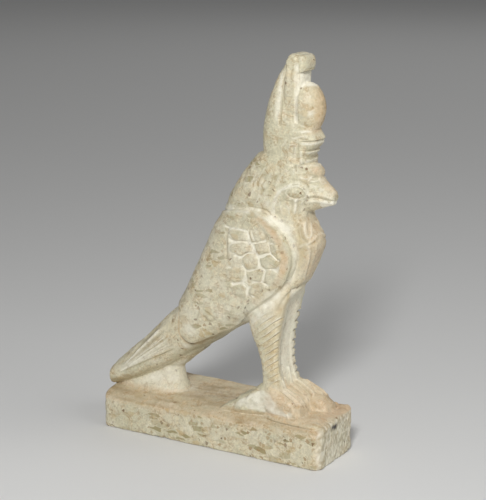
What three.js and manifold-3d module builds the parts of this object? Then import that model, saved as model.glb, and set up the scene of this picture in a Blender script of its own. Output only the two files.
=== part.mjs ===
// A standing falcon with a tall crown, carved in one with its plinth out of a block of pale stone.
// Millimetres, +Z up. The bird looks along +X and is the same on both sides of the plane y = 0.
// The origin is the middle of the plinth's underside.

import * as THREE from 'three';
import { mergeVertices } from 'three/addons/utils/BufferGeometryUtils.js';
import Module from 'manifold-3d';

const wasm = await Module();
wasm.setup();

// Plinth, in millimetres
const PLINTH_LENGTH = 64;
const PLINTH_WIDTH = 18.8;
const PLINTH_HEIGHT = 11;
const PLINTH_CORNER = 2.0;
const PLINTH_CORNER_STEPS = 3;
const UNDERSIDE_BEVEL = 0.4;
// The worn rounding of the top edges
const PLINTH_EDGE_WEAR = 0.9;
// The top slopes: how far the far edge stands over its middle, and how far the near edge lies
// under it, at the tail's end and in front of the feet
const FAR_EDGE_RISE = [1.2, 0.5];
const NEAR_EDGE_LOSS = [2.3, 1.5];
// 1 is a straight slope, and a higher value keeps the middle level and bends the edges more
const SLOPE_BEND = 1.7;
// Rings of the rounding and of the top: how far in and how far down, in shares of the wear
const EDGE_ROUNDING = [
  { inset: 0, down: 1 },
  { inset: 0.35, down: 0.35 },
  { inset: 1.4, down: 0 },
  { inset: 4, down: 0 },
  { inset: 7.5, down: 0 },
];

// The figure, from the top of the plinth to the top of the crown
const FIGURE_HEIGHT = 89;

// Everything below is in shares: hundredths of the figure's height, x forward of the middle of
// the plinth, z up from its top.
const SHARE = FIGURE_HEIGHT / 100;

// How far the roots of the figure run down into the plinth
const ROOT = 1.6;

// Body from the tail's end to the top of the head: back x, back z, front x, front z, half width
// and the thickness of what is carved proud on the back there
const BODY = [
  [-35.9, 4.6, -35.8, -1.0, 6.6, 0.0],
  [-35.3, 6.0, -34.7, -0.8, 7.2, 0.0],
  [-30.1, 10.9, -27.5, 1.8, 7.3, 0.0],
  [-25.4, 15.0, -21.9, 4.5, 7.3, 0.0],
  [-20.8, 19.6, -16.3, 7.6, 7.3, 0.0],
  [-16.4, 24.4, -11.8, 10.4, 7.5, 0.3],
  [-13.7, 27.2, -8.4, 12.8, 8.2, 0.9],
  [-10.9, 31.8, -2.2, 16.6, 8.7, 0.9],
  [-8.4, 37.1, 5.1, 21.8, 9.0, 0.9],
  [-6.2, 42.0, 13.9, 26.5, 9.1, 0.9],
  [-4.1, 46.7, 22.9, 33.1, 9.1, 0.9],
  [-2.1, 51.0, 27.3, 40.2, 9.0, 0.9],
  [-0.2, 53.9, 30.0, 46.0, 8.5, 0.9],
  [0.6, 55.5, 30.8, 48.6, 8.3, 0.8],
  [1.3, 57.0, 30.3, 51.0, 8.0, 0.6],
  [3.0, 60.2, 27.6, 55.3, 7.6, 0.5],
  [5.0, 63.2, 27.2, 59.1, 7.5, 0.5],
  [6.9, 66.4, 28.4, 63.6, 7.2, 0.5],
  [9.2, 69.3, 29.0, 67.9, 6.5, 0.4],
  [11.4, 71.5, 27.6, 71.2, 5.6, 0.0],
  [12.9, 73.0, 27.0, 73.0, 5.2, 0.0],
];
const BODY_SIDES = 16;
const BODY_SQUARENESS = 2.6;
// Half as wide as any plate that cuts through the whole body
const BODY_REACH = 14;

// Low relief on the body: how far each layer stands proud
const WING_LIFT = 0.8;
const SCALE_GROOVE_DEPTH = 0.55;
const WIG_LIFT = 0.5;
const RIM_LIFT = 1.2;
const LAPPET_LIFT = 0.8;
const LAPPET_AHEAD = 0.35;
const EYE_LIFT = 1.5;
const BROW_LIFT = 1.3;

const WING_OUTLINE = [
  [-16.3, 25.4], [-22.5, 25.8], [-18.0, 38.2], [-10.1, 52.4], [-3.6, 53.0], [4.5, 56.2],
  [11.1, 57.5], [16.4, 57.2], [19.1, 55.1], [21.7, 52.8], [23.4, 50.1], [24.7, 46.7],
  [24.5, 43.3], [23.0, 39.3], [20.6, 35.7], [17.6, 32.9], [14.3, 30.3], [10.7, 27.4],
  [7.3, 24.3], [1.5, 20.9], [-2.2, 19.1], [-5.4, 17.8], [-8.1, 18.2], [-10.1, 21.5],
];
// What the raised border along the wing's front edge leaves free
const RIM_INSIDE = [
  [-30, 20], [-30, 60], [2.0, 55.4], [9.0, 56.1], [15.6, 55.4], [19.2, 53.0], [21.2, 50.0],
  [22.2, 46.0], [21.8, 42.4], [20.0, 38.6], [16.8, 35.4], [12.0, 31.6], [7.0, 27.4],
  [4.0, 22.8], [-3.0, 12.0],
];
// The field of scales inside the wing's raised border
const SCALE_FIELD = [
  [2.8, 54.8], [10.1, 55.3], [15.2, 54.8], [18.5, 52.4], [20.8, 49.2], [21.6, 45.6],
  [20.9, 41.6], [18.7, 37.8], [15.3, 34.6], [11.2, 32.1], [6.7, 30.3], [3.4, 32.6],
  [2.8, 43.8],
];
// Scales lie on a slanted honeycomb: its first cell, the step along a row and down to the next
const SCALE_START = [10.2, 50.6];
const SCALE_ALONG = [5.5, 0.45];
const SCALE_DOWN = [1.55, -3.75];
const SCALE_SHRINK = 0.82;
const SCALE_REACH = 4;
const WIG_OUTLINE = [
  [-5.6, 54.3], [4.5, 57.3], [11.1, 58.7], [16.9, 58.3], [19.6, 56.9], [20.1, 59.1],
  [21.0, 61.3], [22.2, 63.1], [24.0, 64.4], [23.4, 66.6], [22.8, 68.8], [26.0, 70.0],
  [32.0, 70.4], [32.0, 76.0], [4.0, 76.0],
];
const LAPPET_OUTLINE = [
  [21.6, 55.9], [24.9, 55.9], [28.6, 55.0], [31.6, 53.4], [31.6, 49.4], [27.4, 48.5],
  [25.2, 49.4],
];
// The bare strip of breast between the lappets: its half width, and a box wide enough to clear it
const LAPPET_GAP = 2.6;
const LAPPET_GAP_BOX = [[15, 40], [40, 40], [40, 65], [15, 65]];
const BROW_OUTLINE = [
  [21.2, 67.6], [24.3, 66.4], [28.7, 66.6], [31.6, 67.4], [31.6, 69.4], [27.0, 70.2],
  [22.5, 70.0],
];
const EYE_OUTLINE = [
  [24.4, 63.3], [25.4, 64.7], [26.6, 65.4], [27.9, 64.8], [28.8, 63.7], [27.8, 62.8],
  [26.6, 62.5], [25.4, 62.7],
];

// Beak: x, low z, high z, half width
const BEAK = [
  [24.5, 56.6, 70.2, 5.0],
  [27.6, 57.6, 69.2, 4.3],
  [29.8, 58.5, 67.6, 3.5],
  [31.7, 59.0, 66.1, 2.8],
  [33.3, 59.5, 64.8, 2.2],
  [34.4, 59.9, 63.8, 1.8],
  [34.7, 60.6, 63.0, 1.3],
];
const BEAK_SIDES = 12;
const BEAK_SQUARENESS = 2.3;
// Swelling over the beak: its middle and its half sizes
const FOREHEAD = { x: 27.8, z: 68.3, half: [2.9, 3.4, 2.5] };
const FOREHEAD_SIDES = 10;
// Rings of an oval from pole to pole, for each of its sides
const OVAL_RINGS = 0.6;

// Legs: z, rear x, front x, half width, middle of the leg out from the figure's middle
const LEG = [
  [42.0, 12.0, 22.0, 2.4, 2.8],
  [36.6, 9.4, 23.8, 3.3, 3.7],
  [30.4, 9.6, 21.9, 3.4, 4.2],
  [25.8, 11.0, 21.0, 2.9, 4.3],
  [21.3, 12.2, 20.2, 2.5, 4.3],
  [16.9, 14.1, 19.9, 2.1, 4.3],
  [12.4, 15.2, 20.2, 2.0, 4.3],
  [7.9, 15.3, 21.5, 2.1, 4.3],
  [3.4, 14.9, 22.5, 2.5, 4.3],
  [-ROOT, 14.4, 23.6, 2.7, 4.3],
];
const LEG_STEPS = 4;
const LEG_SIDES = 10;
const LEG_SQUARENESS = 3;
// The slanting strokes round the outer side of each leg
const STROKE_PITCH = 2.3;
const STROKE_RISE = 0.75;
const STROKE_DEPTH = 0.5;
const STROKE_LOWEST = 8;
const STROKE_HIGHEST = 27;
// How far the strokes run round past the leg's middle, in half widths
const STROKE_PAST_MIDDLE = 0.5;

// Stone left standing between the legs, with a groove up its front as wide as it is, deepest at
// its middle line beside the near leg: z, rear x, front x and the depth of the groove
const WEB = [
  [-ROOT, 17.0, 22.8, 1.0],
  [3.4, 16.8, 22.5, 1.3],
  [7.9, 16.6, 21.4, 1.5],
  [12.4, 16.2, 20.3, 1.5],
  [16.9, 15.5, 19.9, 1.5],
  [21.3, 14.2, 20.2, 1.5],
  [25.8, 13.2, 21.0, 1.4],
  [30.4, 12.5, 21.9, 1.3],
  [36.0, 13.0, 23.2, 1.0],
];
const WEB_HALF = 5.0;
const WEB_GROOVE_MIDDLE = -2.8;

// Feet: x, top z, half width
const FOOT = [
  [14.0, 7.4, 2.4],
  [17.5, 8.8, 3.0],
  [21.5, 7.9, 3.5],
  [25.3, 6.5, 3.6],
  [28.8, 4.7, 3.6],
  [31.0, 2.8, 3.4],
  [32.2, 1.0, 3.2],
  [32.6, -0.6, 3.0],
];
// The near foot is shorter: how much of that length in front of its heel it keeps
const NEAR_FOOT_REACH = 0.78;
// The feet aren't parted: the stone between them lies this much lower than their tops
const FEET_GAP_DEPTH = 0.7;
// The low mound that they stand on: x, top z, half width, and its middle across the plinth
const MOUND = [
  [16.0, -0.6, 6.0],
  [20.0, 0.5, 7.8],
  [25.0, 0.9, 8.4],
  [30.0, 0.7, 8.4],
  [33.0, 0.2, 8.0],
  [34.8, -0.8, 7.0],
];
const MOUND_CENTRE = -0.8;
const FOOT_CENTRE = 4.3;
const FOOT_SIDES = 10;
const FOOT_STEPS = 1;
const FOOT_SQUARENESS = 2.6;
// Toes: how far out from the foot's middle, in half widths, and where the tip is
const TOES = [
  { aside: -0.9, tip: 32.9 },
  { aside: -0.3, tip: 32.6 },
  { aside: 0.3, tip: 31.9 },
  { aside: 0.9, tip: 30.6 },
];
const TOE_START = { x: 19.0, z: 7.8 };
const TOE_END = 0.9;
const TOE_RADIUS = 1.0;
const TOE_STEPS = 3;
const TOE_SIDES = 6;
// How far apart the toes lie where they start and at their tips, how high they arch, and how
// much lower the outer ones start
const TOE_SPREAD = [2.2, 3.5];
const TOE_ARCH = 0.9;
const TOE_DROP = 0.9;

// Rough stone left behind each foot: x, top z, half width
const HEEL = [
  [17.0, 6.0, 2.4],
  [14.5, 6.8, 2.8],
  [11.5, 5.3, 3.2],
  [8.4, 3.4, 3.2],
  [5.6, 1.6, 2.9],
  [2.6, -0.6, 2.4],
];
const HEEL_CENTRE = 4.9;

// Stone left standing under the tail: z, rear x, front x, half width
const TAIL_SUPPORT = [
  [-ROOT, -36.0, -11.0, 6.2],
  [0.8, -35.8, -12.6, 5.0],
  [3.4, -34.0, -13.6, 4.0],
  [6.8, -30.0, -14.1, 3.8],
  [8.4, -26.4, -12.3, 3.9],
  [10.4, -22.3, -10.2, 4.2],
  [14.0, -15.4, -5.8, 4.6],
];
const TAIL_SUPPORT_SIDES = 10;
const TAIL_SUPPORT_SQUARENESS = 2.4;

// Long feathers cut along the sides of the tail: where each cut starts under the wing and ends
// near the tip, from 0 at the tail's back to 1 at its underside
const FEATHER_CUTS = [
  { start: 0.2, end: 0.3 },
  { start: 0.42, end: 0.46 },
  { start: 0.64, end: 0.62 },
];
const FEATHER_CUT_WIDTH = 0.8;
const FEATHER_CUT_DEPTH = 0.5;
// Width of each cut at the tip, as a share of its width at the start
const FEATHER_CUT_TAPER = 0.4;
const FEATHER_FROM_RUNG = 5;
const FEATHER_TO_RUNG = 1;
// Two more run down the tail's back, this far from its middle
const BACK_CUT = 2.0;
const BACK_CUT_SIDES = 6;

// Crown's cap, with three steps under its lip in front: z, rear x, front x, half width
const CAP = [
  [68.0, 15.0, 26.2, 5.2],
  [70.3, 14.2, 26.8, 5.4],
  [72.1, 13.8, 27.7, 5.5],
  [72.2, 13.8, 27.0, 5.5],
  [74.3, 13.7, 28.8, 5.5],
  [74.4, 13.7, 28.3, 5.5],
  [76.4, 13.6, 29.9, 5.5],
  [76.6, 13.6, 29.7, 5.5],
  [77.4, 13.6, 30.3, 5.5],
  [78.6, 13.7, 29.6, 5.5],
  [80.4, 13.9, 28.2, 5.2],
  [83.0, 14.8, 24.6, 4.6],
  [85.5, 16.6, 23.4, 3.6],
];
const CAP_SIDES = 16;
const CAP_SQUARENESS = 3.0;
// The cone behind the plumes: z, rear x, front x, half width
const CONE = [
  [72.0, 13.6, 24.0, 5.4],
  [78.0, 13.3, 24.0, 5.4],
  [82.0, 13.7, 24.0, 5.2],
  [86.0, 14.7, 23.0, 4.6],
  [90.0, 16.0, 22.4, 3.8],
  [93.6, 17.5, 22.0, 2.7],
  [96.8, 19.3, 21.6, 1.2],
];
const CONE_SIDES = 14;
const CONE_SQUARENESS = 2.3;
// The plumes stand as one slab, leaning a little: z, rear x, front x, half width
const PLUMES = [
  [78.0, 20.1, 24.7, 4.3],
  [96.0, 20.7, 24.8, 4.2],
  [98.6, 21.2, 24.8, 4.0],
  [99.6, 21.8, 24.6, 3.4],
  [100.0, 22.5, 24.2, 2.4],
];
const PLUME_SIDES = 14;
const PLUME_SQUARENESS = 5;
// Their tips curl forward in a knob: z, rear x, front x, half width
const CURL = [
  [84.0, 22.0, 25.4, 3.3],
  [94.2, 22.0, 25.5, 3.3],
  [95.0, 22.0, 26.1, 3.6],
  [97.0, 22.0, 26.8, 3.7],
  [98.6, 22.0, 26.4, 3.4],
  [99.5, 22.4, 25.3, 2.6],
];
const CURL_SIDES = 12;
const CURL_SQUARENESS = 2.6;
const DISC = { x: 25.9, z: 85.5, half: [5.0, 4.6, 7.1] };
const DISC_SIDES = 14;

const STONE_COLOUR = 0xd9cba6;

// Value raised to a power, keeping its sign
function signedPower(value, exponent) {
  return Math.sign(value) * Math.abs(value) ** exponent;
}

// A place given in shares, in millimetres
function place(x, y, z) {
  return new THREE.Vector3(x * SHARE, y * SHARE, PLINTH_HEIGHT + z * SHARE);
}

// A closed section: from its back point to its front point and half as wide to each side.
// Squareness 2 is an ellipse, and a higher one is boxier.
function section(back, front, half, sides, squareness) {
  const middle = back.clone().add(front).multiplyScalar(0.5);
  const reach = front.clone().sub(back).multiplyScalar(0.5);
  const across = new THREE.Vector3(0, half, 0);
  return Array.from({ length: sides }, (_, i) => {
    const turn = (i / sides) * 2 * Math.PI;
    const along = signedPower(Math.cos(turn), 2 / squareness);
    const aside = signedPower(Math.sin(turn), 2 / squareness);
    return middle.clone().addScaledVector(reach, along).addScaledVector(across, aside);
  });
}

// A closed skin over rings of points, with a fan at each end
function skin(rings) {
  const sides = rings[0].length;
  const points = rings.flat();
  const triangles = [];
  for (let r = 0; r < rings.length - 1; r += 1) {
    for (let i = 0; i < sides; i += 1) {
      const a = r * sides + i;
      const b = r * sides + ((i + 1) % sides);
      triangles.push(a, b, a + sides, b, b + sides, a + sides);
    }
  }
  const middle = (ring) => ring.reduce((sum, p) => sum.add(p), new THREE.Vector3());
  const first = points.push(middle(rings[0]).divideScalar(sides)) - 1;
  const last = points.push(middle(rings[rings.length - 1]).divideScalar(sides)) - 1;
  const top = (rings.length - 1) * sides;
  for (let i = 0; i < sides; i += 1) {
    const next = (i + 1) % sides;
    triangles.push(first, next, i, last, top + i, top + next);
  }
  const geometry = new THREE.BufferGeometry().setFromPoints(points);
  geometry.setIndex(triangles);
  return geometry;
}

// A closed three.js geometry as a solid that can be joined and cut
function solid(geometry) {
  geometry.deleteAttribute('normal');
  geometry.deleteAttribute('uv');
  const merged = mergeVertices(geometry);
  return new wasm.Manifold(new wasm.Mesh({
    numProp: 3,
    vertProperties: new Float32Array(merged.attributes.position.array),
    triVerts: new Uint32Array(merged.index.array),
  }));
}

// Smooth rows of numbers between the given rows
function between(rows, steps) {
  const curves = rows[0].map((_, column) => {
    return new THREE.CatmullRomCurve3(rows.map((row) => new THREE.Vector3(row[column], 0, 0)));
  });
  const count = (rows.length - 1) * steps;
  return Array.from({ length: count + 1 }, (_, i) => curves.map((curve) => curve.getPoint(i / count).x));
}

// The body with its back and sides grown outwards by the lift, and its front by the last value
function body(lift, ahead = 0) {
  const rings = BODY.map(([backX, backZ, frontX, frontZ, half, cover]) => {
    const front = place(frontX, 0, frontZ);
    const back = place(backX, 0, backZ);
    const growth = (lift - cover) * SHARE;
    const outward = back.clone().sub(front).normalize();
    back.addScaledVector(outward, growth);
    front.addScaledVector(outward, -ahead * SHARE);
    return section(back, front, half * SHARE + growth, BODY_SIDES, BODY_SQUARENESS);
  });
  return solid(skin(rings));
}

// A plate with the given side outline, reaching as far to each side as half says
function plate(outline, half) {
  const shape = new THREE.Shape(outline.map(([x, z]) => new THREE.Vector2(x * SHARE, z * SHARE)));
  const depth = 2 * half * SHARE;
  const geometry = new THREE.ExtrudeGeometry(shape, { depth, bevelEnabled: false });
  geometry.rotateX(Math.PI / 2);
  geometry.translate(0, depth / 2, PLINTH_HEIGHT);
  return solid(geometry);
}

// The part of the grown body inside an outline seen from the side
function relief(outline, lift, ahead = 0) {
  return body(lift, ahead).intersect(plate(outline, BODY_REACH));
}

// The point as far from the origin as from the two given points
function circumcentre(a, b) {
  const d = 2 * (a.x * b.y - a.y * b.x);
  const x = (b.y * a.lengthSq() - a.y * b.lengthSq()) / d;
  const y = (a.x * b.lengthSq() - b.x * a.lengthSq()) / d;
  return new THREE.Vector2(x, y);
}

// The six corners of one cell of the honeycomb with the given steps
function scaleCell() {
  const along = new THREE.Vector2(...SCALE_ALONG);
  const down = new THREE.Vector2(...SCALE_DOWN);
  const back = down.clone().sub(along);
  const half = [along, down, back];
  const all = [...half, ...half.map((step) => step.clone().negate())];
  return all.map((step, i) => circumcentre(step, all[(i + 1) % all.length]));
}

// The grooves between the scales, as plates across the whole body
function scaleGrooves() {
  const cell = scaleCell();
  let grooves = plate(SCALE_FIELD, BODY_REACH);
  for (let row = -SCALE_REACH; row <= 2 * SCALE_REACH; row += 1) {
    for (let column = -SCALE_REACH; column <= SCALE_REACH; column += 1) {
      const x = SCALE_START[0] + column * SCALE_ALONG[0] + row * SCALE_DOWN[0];
      const z = SCALE_START[1] + column * SCALE_ALONG[1] + row * SCALE_DOWN[1];
      const corners = cell.map((corner) => [x + corner.x * SCALE_SHRINK, z + corner.y * SCALE_SHRINK]);
      grooves = grooves.subtract(plate(corners, BODY_REACH));
    }
  }
  return grooves;
}

// The wings' surface: a raised shield with its scales parted by grooves
function wings() {
  const cuts = scaleGrooves().subtract(body(WING_LIFT - SCALE_GROOVE_DEPTH));
  const rim = relief(WING_OUTLINE, RIM_LIFT).subtract(plate(RIM_INSIDE, BODY_REACH + 1));
  return relief(WING_OUTLINE, WING_LIFT).subtract(cuts).add(rim);
}

// Bands that hang from the wig down the breast, one each side of its middle
function lappets() {
  const gap = plate(LAPPET_GAP_BOX, LAPPET_GAP);
  return relief(LAPPET_OUTLINE, LAPPET_LIFT, LAPPET_AHEAD).subtract(gap);
}

// An oval body with its half sizes along x, y and z
function oval(x, z, [halfX, halfY, halfZ], sides) {
  const geometry = new THREE.SphereGeometry(SHARE, sides, Math.round(sides * OVAL_RINGS));
  geometry.scale(halfX, halfY, halfZ);
  const middle = place(x, 0, z);
  geometry.translate(middle.x, middle.y, middle.z);
  return solid(geometry);
}

function beak() {
  const rings = BEAK.map(([x, low, high, half]) => {
    return section(place(x, 0, high), place(x, 0, low), half * SHARE, BEAK_SIDES, BEAK_SQUARENESS);
  });
  return solid(skin(rings));
}

function head() {
  return beak()
    .add(oval(FOREHEAD.x, FOREHEAD.z, FOREHEAD.half, FOREHEAD_SIDES))
    .add(relief(WIG_OUTLINE, WIG_LIFT))
    .add(relief(BROW_OUTLINE, BROW_LIFT, BROW_LIFT / 2))
    .add(relief(EYE_OUTLINE, EYE_LIFT, EYE_LIFT / 2));
}

// How far a leg's surface is cut back at a height and a place round it
function strokeCut(x, z, outward) {
  if (z < STROKE_LOWEST || z > STROKE_HIGHEST || outward < -STROKE_PAST_MIDDLE) {
    return 0;
  }
  const phase = (z - STROKE_RISE * x) / STROKE_PITCH;
  return STROKE_DEPTH * (phase - Math.floor(phase));
}

// One leg, on the side that the sign gives
function leg(side) {
  const rings = between(LEG, LEG_STEPS).map(([z, rear, front, half, centre]) => {
    const ring = section(place(rear, 0, z), place(front, 0, z), half * SHARE, LEG_SIDES, LEG_SQUARENESS);
    const middle = place((rear + front) / 2, 0, z);
    ring.forEach((point) => {
      const outward = point.y * side / (half * SHARE);
      const away = point.clone().sub(middle).normalize();
      point.addScaledVector(away, -strokeCut(point.x / SHARE, z, outward) * SHARE);
      point.y += side * centre * SHARE;
    });
    return ring;
  });
  return solid(skin(rings.reverse()));
}

// Rings across x for a low form that stands on the plinth
function lowForm(rows, centre, side) {
  return between(rows, FOOT_STEPS).map(([x, top, half]) => {
    const ring = section(place(x, 0, top), place(x, 0, -ROOT), half * SHARE, FOOT_SIDES, FOOT_SQUARENESS);
    ring.forEach((point) => {
      point.y += side * centre * SHARE;
    });
    return ring;
  });
}

// A round section of a ridge or a groove that runs along x
function rod(middle, radius, sides) {
  const up = new THREE.Vector3(0, 0, radius * SHARE);
  return section(middle.clone().add(up), middle.clone().sub(up), radius * SHARE, sides, 2);
}

// Where a foot's place along x is on the given side
function footPlace(x, side) {
  return side < 0 ? FOOT[0][0] + (x - FOOT[0][0]) * NEAR_FOOT_REACH : x;
}

// The toes are ridges that run down the top of the foot to its front edge
function toes(side) {
  return TOES.map(({ aside, tip }) => {
    const rings = Array.from({ length: TOE_STEPS + 1 }, (_, i) => {
      const along = i / TOE_STEPS;
      const x = footPlace(THREE.MathUtils.lerp(TOE_START.x, tip, along), side);
      const y = side * (FOOT_CENTRE + aside * THREE.MathUtils.lerp(...TOE_SPREAD, along));
      const arch = TOE_ARCH * Math.sin(along * Math.PI) - Math.abs(aside) * TOE_DROP * (1 - along);
      const z = THREE.MathUtils.lerp(TOE_START.z, TOE_END, along) + arch;
      return rod(place(x, y, z), TOE_RADIUS, TOE_SIDES);
    });
    return solid(skin(rings));
  });
}

function foot(side) {
  const rows = FOOT.map(([x, top, half]) => [footPlace(x, side), top, half]);
  const wedge = solid(skin(lowForm(rows, FOOT_CENTRE, side)));
  const heel = solid(skin(lowForm(HEEL, HEEL_CENTRE, side).reverse()));
  return toes(side).reduce((sum, toe) => sum.add(toe), wedge.add(heel));
}

// The stone between the legs, between the feet and under them
function web() {
  const rings = WEB.map(([z, rear, front, groove]) => {
    return [place(rear, -WEB_HALF, z), place(front, -WEB_HALF, z),
      place(front - groove, WEB_GROOVE_MIDDLE, z),
      place(front, WEB_HALF, z), place(rear, WEB_HALF, z)];
  });
  const rows = FOOT.map(([x, top]) => [footPlace(x, -1), top - FEET_GAP_DEPTH, FOOT_CENTRE]);
  return solid(skin(rings))
    .add(solid(skin(lowForm(rows, 0, 1))))
    .add(solid(skin(lowForm(MOUND, MOUND_CENTRE, 1))));
}

// A point across the body at one rung, from 0 at its back to 1 at its front
function across(rung, part) {
  const [backX, backZ, frontX, frontZ] = BODY[rung];
  return [THREE.MathUtils.lerp(backX, frontX, part), THREE.MathUtils.lerp(backZ, frontZ, part)];
}

// Grooves along the sides and the back of the tail
function featherCuts() {
  const half = FEATHER_CUT_WIDTH / 2;
  const tip = half * FEATHER_CUT_TAPER;
  const strips = FEATHER_CUTS.map(({ start, end }) => {
    const [x0, z0] = across(FEATHER_FROM_RUNG, start);
    const [x1, z1] = across(FEATHER_TO_RUNG, end);
    return plate([[x0, z0 - half], [x0, z0 + half], [x1, z1 + tip], [x1, z1 - tip]], BODY_REACH);
  });
  const sides = strips.reduce((sum, strip) => sum.add(strip)).subtract(body(-FEATHER_CUT_DEPTH));
  const rungs = BODY.slice(FEATHER_TO_RUNG, FEATHER_FROM_RUNG + 1);
  const backs = [-BACK_CUT, BACK_CUT].map((y) => {
    return solid(skin(rungs.map(([x, z]) => rod(place(x, y, z), half, BACK_CUT_SIDES))));
  });
  return backs.reduce((sum, cut) => sum.add(cut), sides);
}

// A form given by level sections: z, rear x, front x, half width
function upright(rows, sides, squareness) {
  const rings = rows.map(([z, rear, front, half]) => {
    return section(place(rear, 0, z), place(front, 0, z), half * SHARE, sides, squareness);
  });
  return solid(skin(rings));
}

function crown() {
  return upright(CONE, CONE_SIDES, CONE_SQUARENESS)
    .add(upright(CAP, CAP_SIDES, CAP_SQUARENESS))
    .add(upright(PLUMES, PLUME_SIDES, PLUME_SQUARENESS))
    .add(upright(CURL, CURL_SIDES, CURL_SQUARENESS))
    .add(oval(DISC.x, DISC.z, DISC.half, DISC_SIDES));
}

// How much higher the plinth's top is at a place than along its middle
function topSlope(x, y) {
  const ends = y > 0 ? FAR_EDGE_RISE : NEAR_EDGE_LOSS;
  const atEdge = THREE.MathUtils.lerp(...ends, x / PLINTH_LENGTH + 0.5);
  return atEdge * signedPower(y / (PLINTH_WIDTH / 2), SLOPE_BEND);
}

// The plinth's plan, drawn in by the given amount, and sloped as the top is or level
function plinthRing(inset, z, sloped) {
  const halfX = PLINTH_LENGTH / 2 - inset;
  const halfY = PLINTH_WIDTH / 2 - inset;
  const points = [];
  [[1, 1], [-1, 1], [-1, -1], [1, -1]].forEach(([signX, signY], quarter) => {
    for (let i = 0; i <= PLINTH_CORNER_STEPS; i += 1) {
      const turn = (quarter + i / PLINTH_CORNER_STEPS) * Math.PI / 2;
      const x = signX * (halfX - PLINTH_CORNER) + PLINTH_CORNER * Math.cos(turn);
      const y = signY * (halfY - PLINTH_CORNER) + PLINTH_CORNER * Math.sin(turn);
      points.push(new THREE.Vector3(x, y, z + (sloped ? topSlope(x, y) : 0)));
    }
  });
  return points;
}

function plinth() {
  const foot = [plinthRing(UNDERSIDE_BEVEL, 0, false), plinthRing(0, UNDERSIDE_BEVEL, false)];
  const top = EDGE_ROUNDING.map(({ inset, down }) => {
    return plinthRing(PLINTH_EDGE_WEAR * inset, PLINTH_HEIGHT - PLINTH_EDGE_WEAR * down, true);
  });
  return solid(skin([...foot, ...top]));
}

// The whole falcon as one solid
function falcon() {
  const tail = upright(TAIL_SUPPORT, TAIL_SUPPORT_SIDES, TAIL_SUPPORT_SQUARENESS);
  let whole = body(0).subtract(featherCuts()).add(wings()).add(lappets()).add(head()).add(crown());
  [-1, 1].forEach((side) => {
    whole = whole.add(leg(side)).add(foot(side));
  });
  return whole.add(web()).add(tail).add(plinth());
}

// A solid as a mesh ready for the scene
function mesh(name, shape, material) {
  const { numProp, vertProperties, triVerts } = shape.getMesh();
  const geometry = new THREE.BufferGeometry();
  geometry.setAttribute('position', new THREE.InterleavedBufferAttribute(
    new THREE.InterleavedBuffer(vertProperties, numProp), 3, 0));
  geometry.setIndex(new THREE.BufferAttribute(triVerts, 1));
  geometry.computeVertexNormals();
  const result = new THREE.Mesh(geometry, material);
  result.name = name;
  return result;
}

const stone = new THREE.MeshStandardMaterial({ color: STONE_COLOUR, roughness: 0.62, metalness: 0 });

const group = new THREE.Group();
group.add(mesh('horus_falcon', falcon(), stone));

export default group;
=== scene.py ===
"""A standing falcon with a tall crown, carved in one with its plinth out of pale speckled stone.

The carved forms are made as fine lofts and joined into one skin. The skin is then carved: every
point moves along its normal by a depth that is a function of its place, and gets marks such as
dust, painted light, painted highlight and painted shade, which the stone's colour reads.

Tables of the figure are in shares: hundredths of the figure's height, x forward of the plinth's
middle and z up from its top, as the solid's are. Lengths of the plinth and of noise are in
millimetres, and the finished mesh is in metres.

The formulas, in words:
- A ring of a loft is its middle, plus its reach times the cosine of the turn, plus its half width
  times the sine, where both are raised to the power 2 / squareness and keep their sign.
- A groove or ridge is its depth times exp(-(distance / width)^2), by the distance to a smooth line.
- The soft edge of a region is the curve 3t^2 - 2t^3.
- Noise is random values on a lattice, blended along x, y and z by that same curve.
- A stroke on the legs is the groove above, by how far a slanting height is from a whole multiple
  of the strokes' pitch.
- Each scale of the wing has an oval distance of its own, which is 1 on its edge. Walls stand
  where the smallest and the second smallest of them are nearly equal, and in a ring round the
  smallest. Noise bends them.
- A feather of the tail is the groove above, by the distance to a straight line from the tail's tip.
"""

import bpy
import numpy as np
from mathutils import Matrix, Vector


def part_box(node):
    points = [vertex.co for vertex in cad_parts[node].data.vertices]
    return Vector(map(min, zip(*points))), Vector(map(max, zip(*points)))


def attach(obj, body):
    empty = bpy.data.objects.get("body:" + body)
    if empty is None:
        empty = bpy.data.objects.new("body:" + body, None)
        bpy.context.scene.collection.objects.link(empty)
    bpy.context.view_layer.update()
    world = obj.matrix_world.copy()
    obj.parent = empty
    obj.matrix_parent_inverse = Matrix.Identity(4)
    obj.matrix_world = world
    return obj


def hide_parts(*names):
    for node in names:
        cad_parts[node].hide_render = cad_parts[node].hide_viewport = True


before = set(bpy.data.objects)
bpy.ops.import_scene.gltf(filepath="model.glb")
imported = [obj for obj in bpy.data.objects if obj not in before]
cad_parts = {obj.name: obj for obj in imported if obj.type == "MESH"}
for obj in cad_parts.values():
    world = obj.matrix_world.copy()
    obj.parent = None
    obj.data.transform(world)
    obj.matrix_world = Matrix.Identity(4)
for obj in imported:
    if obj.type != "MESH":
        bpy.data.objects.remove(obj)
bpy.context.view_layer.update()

NODE = "horus_falcon"
METRE = 0.001
LOW, HIGH = (np.array(corner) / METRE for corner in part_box(NODE))

# The figure stands on a plinth that takes this share of the whole height
PLINTH_PART = 0.11
PLINTH_TOP = (HIGH[2] - LOW[2]) * PLINTH_PART
SHARE = (HIGH[2] - PLINTH_TOP) / 100

# The skin's grid in millimetres, rounds of smoothing before it is carved, rounds of averaging
# that find its hollows, and how many triangles stay after the last thinning
GRAIN = 0.17
SMOOTH_ROUNDS = 6
HOLLOW_ROUNDS = 24
MOST_TRIANGLES = 190000


# Forms

# How deep a form's foot is sunk into the plinth
ROOT = 1.6
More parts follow.
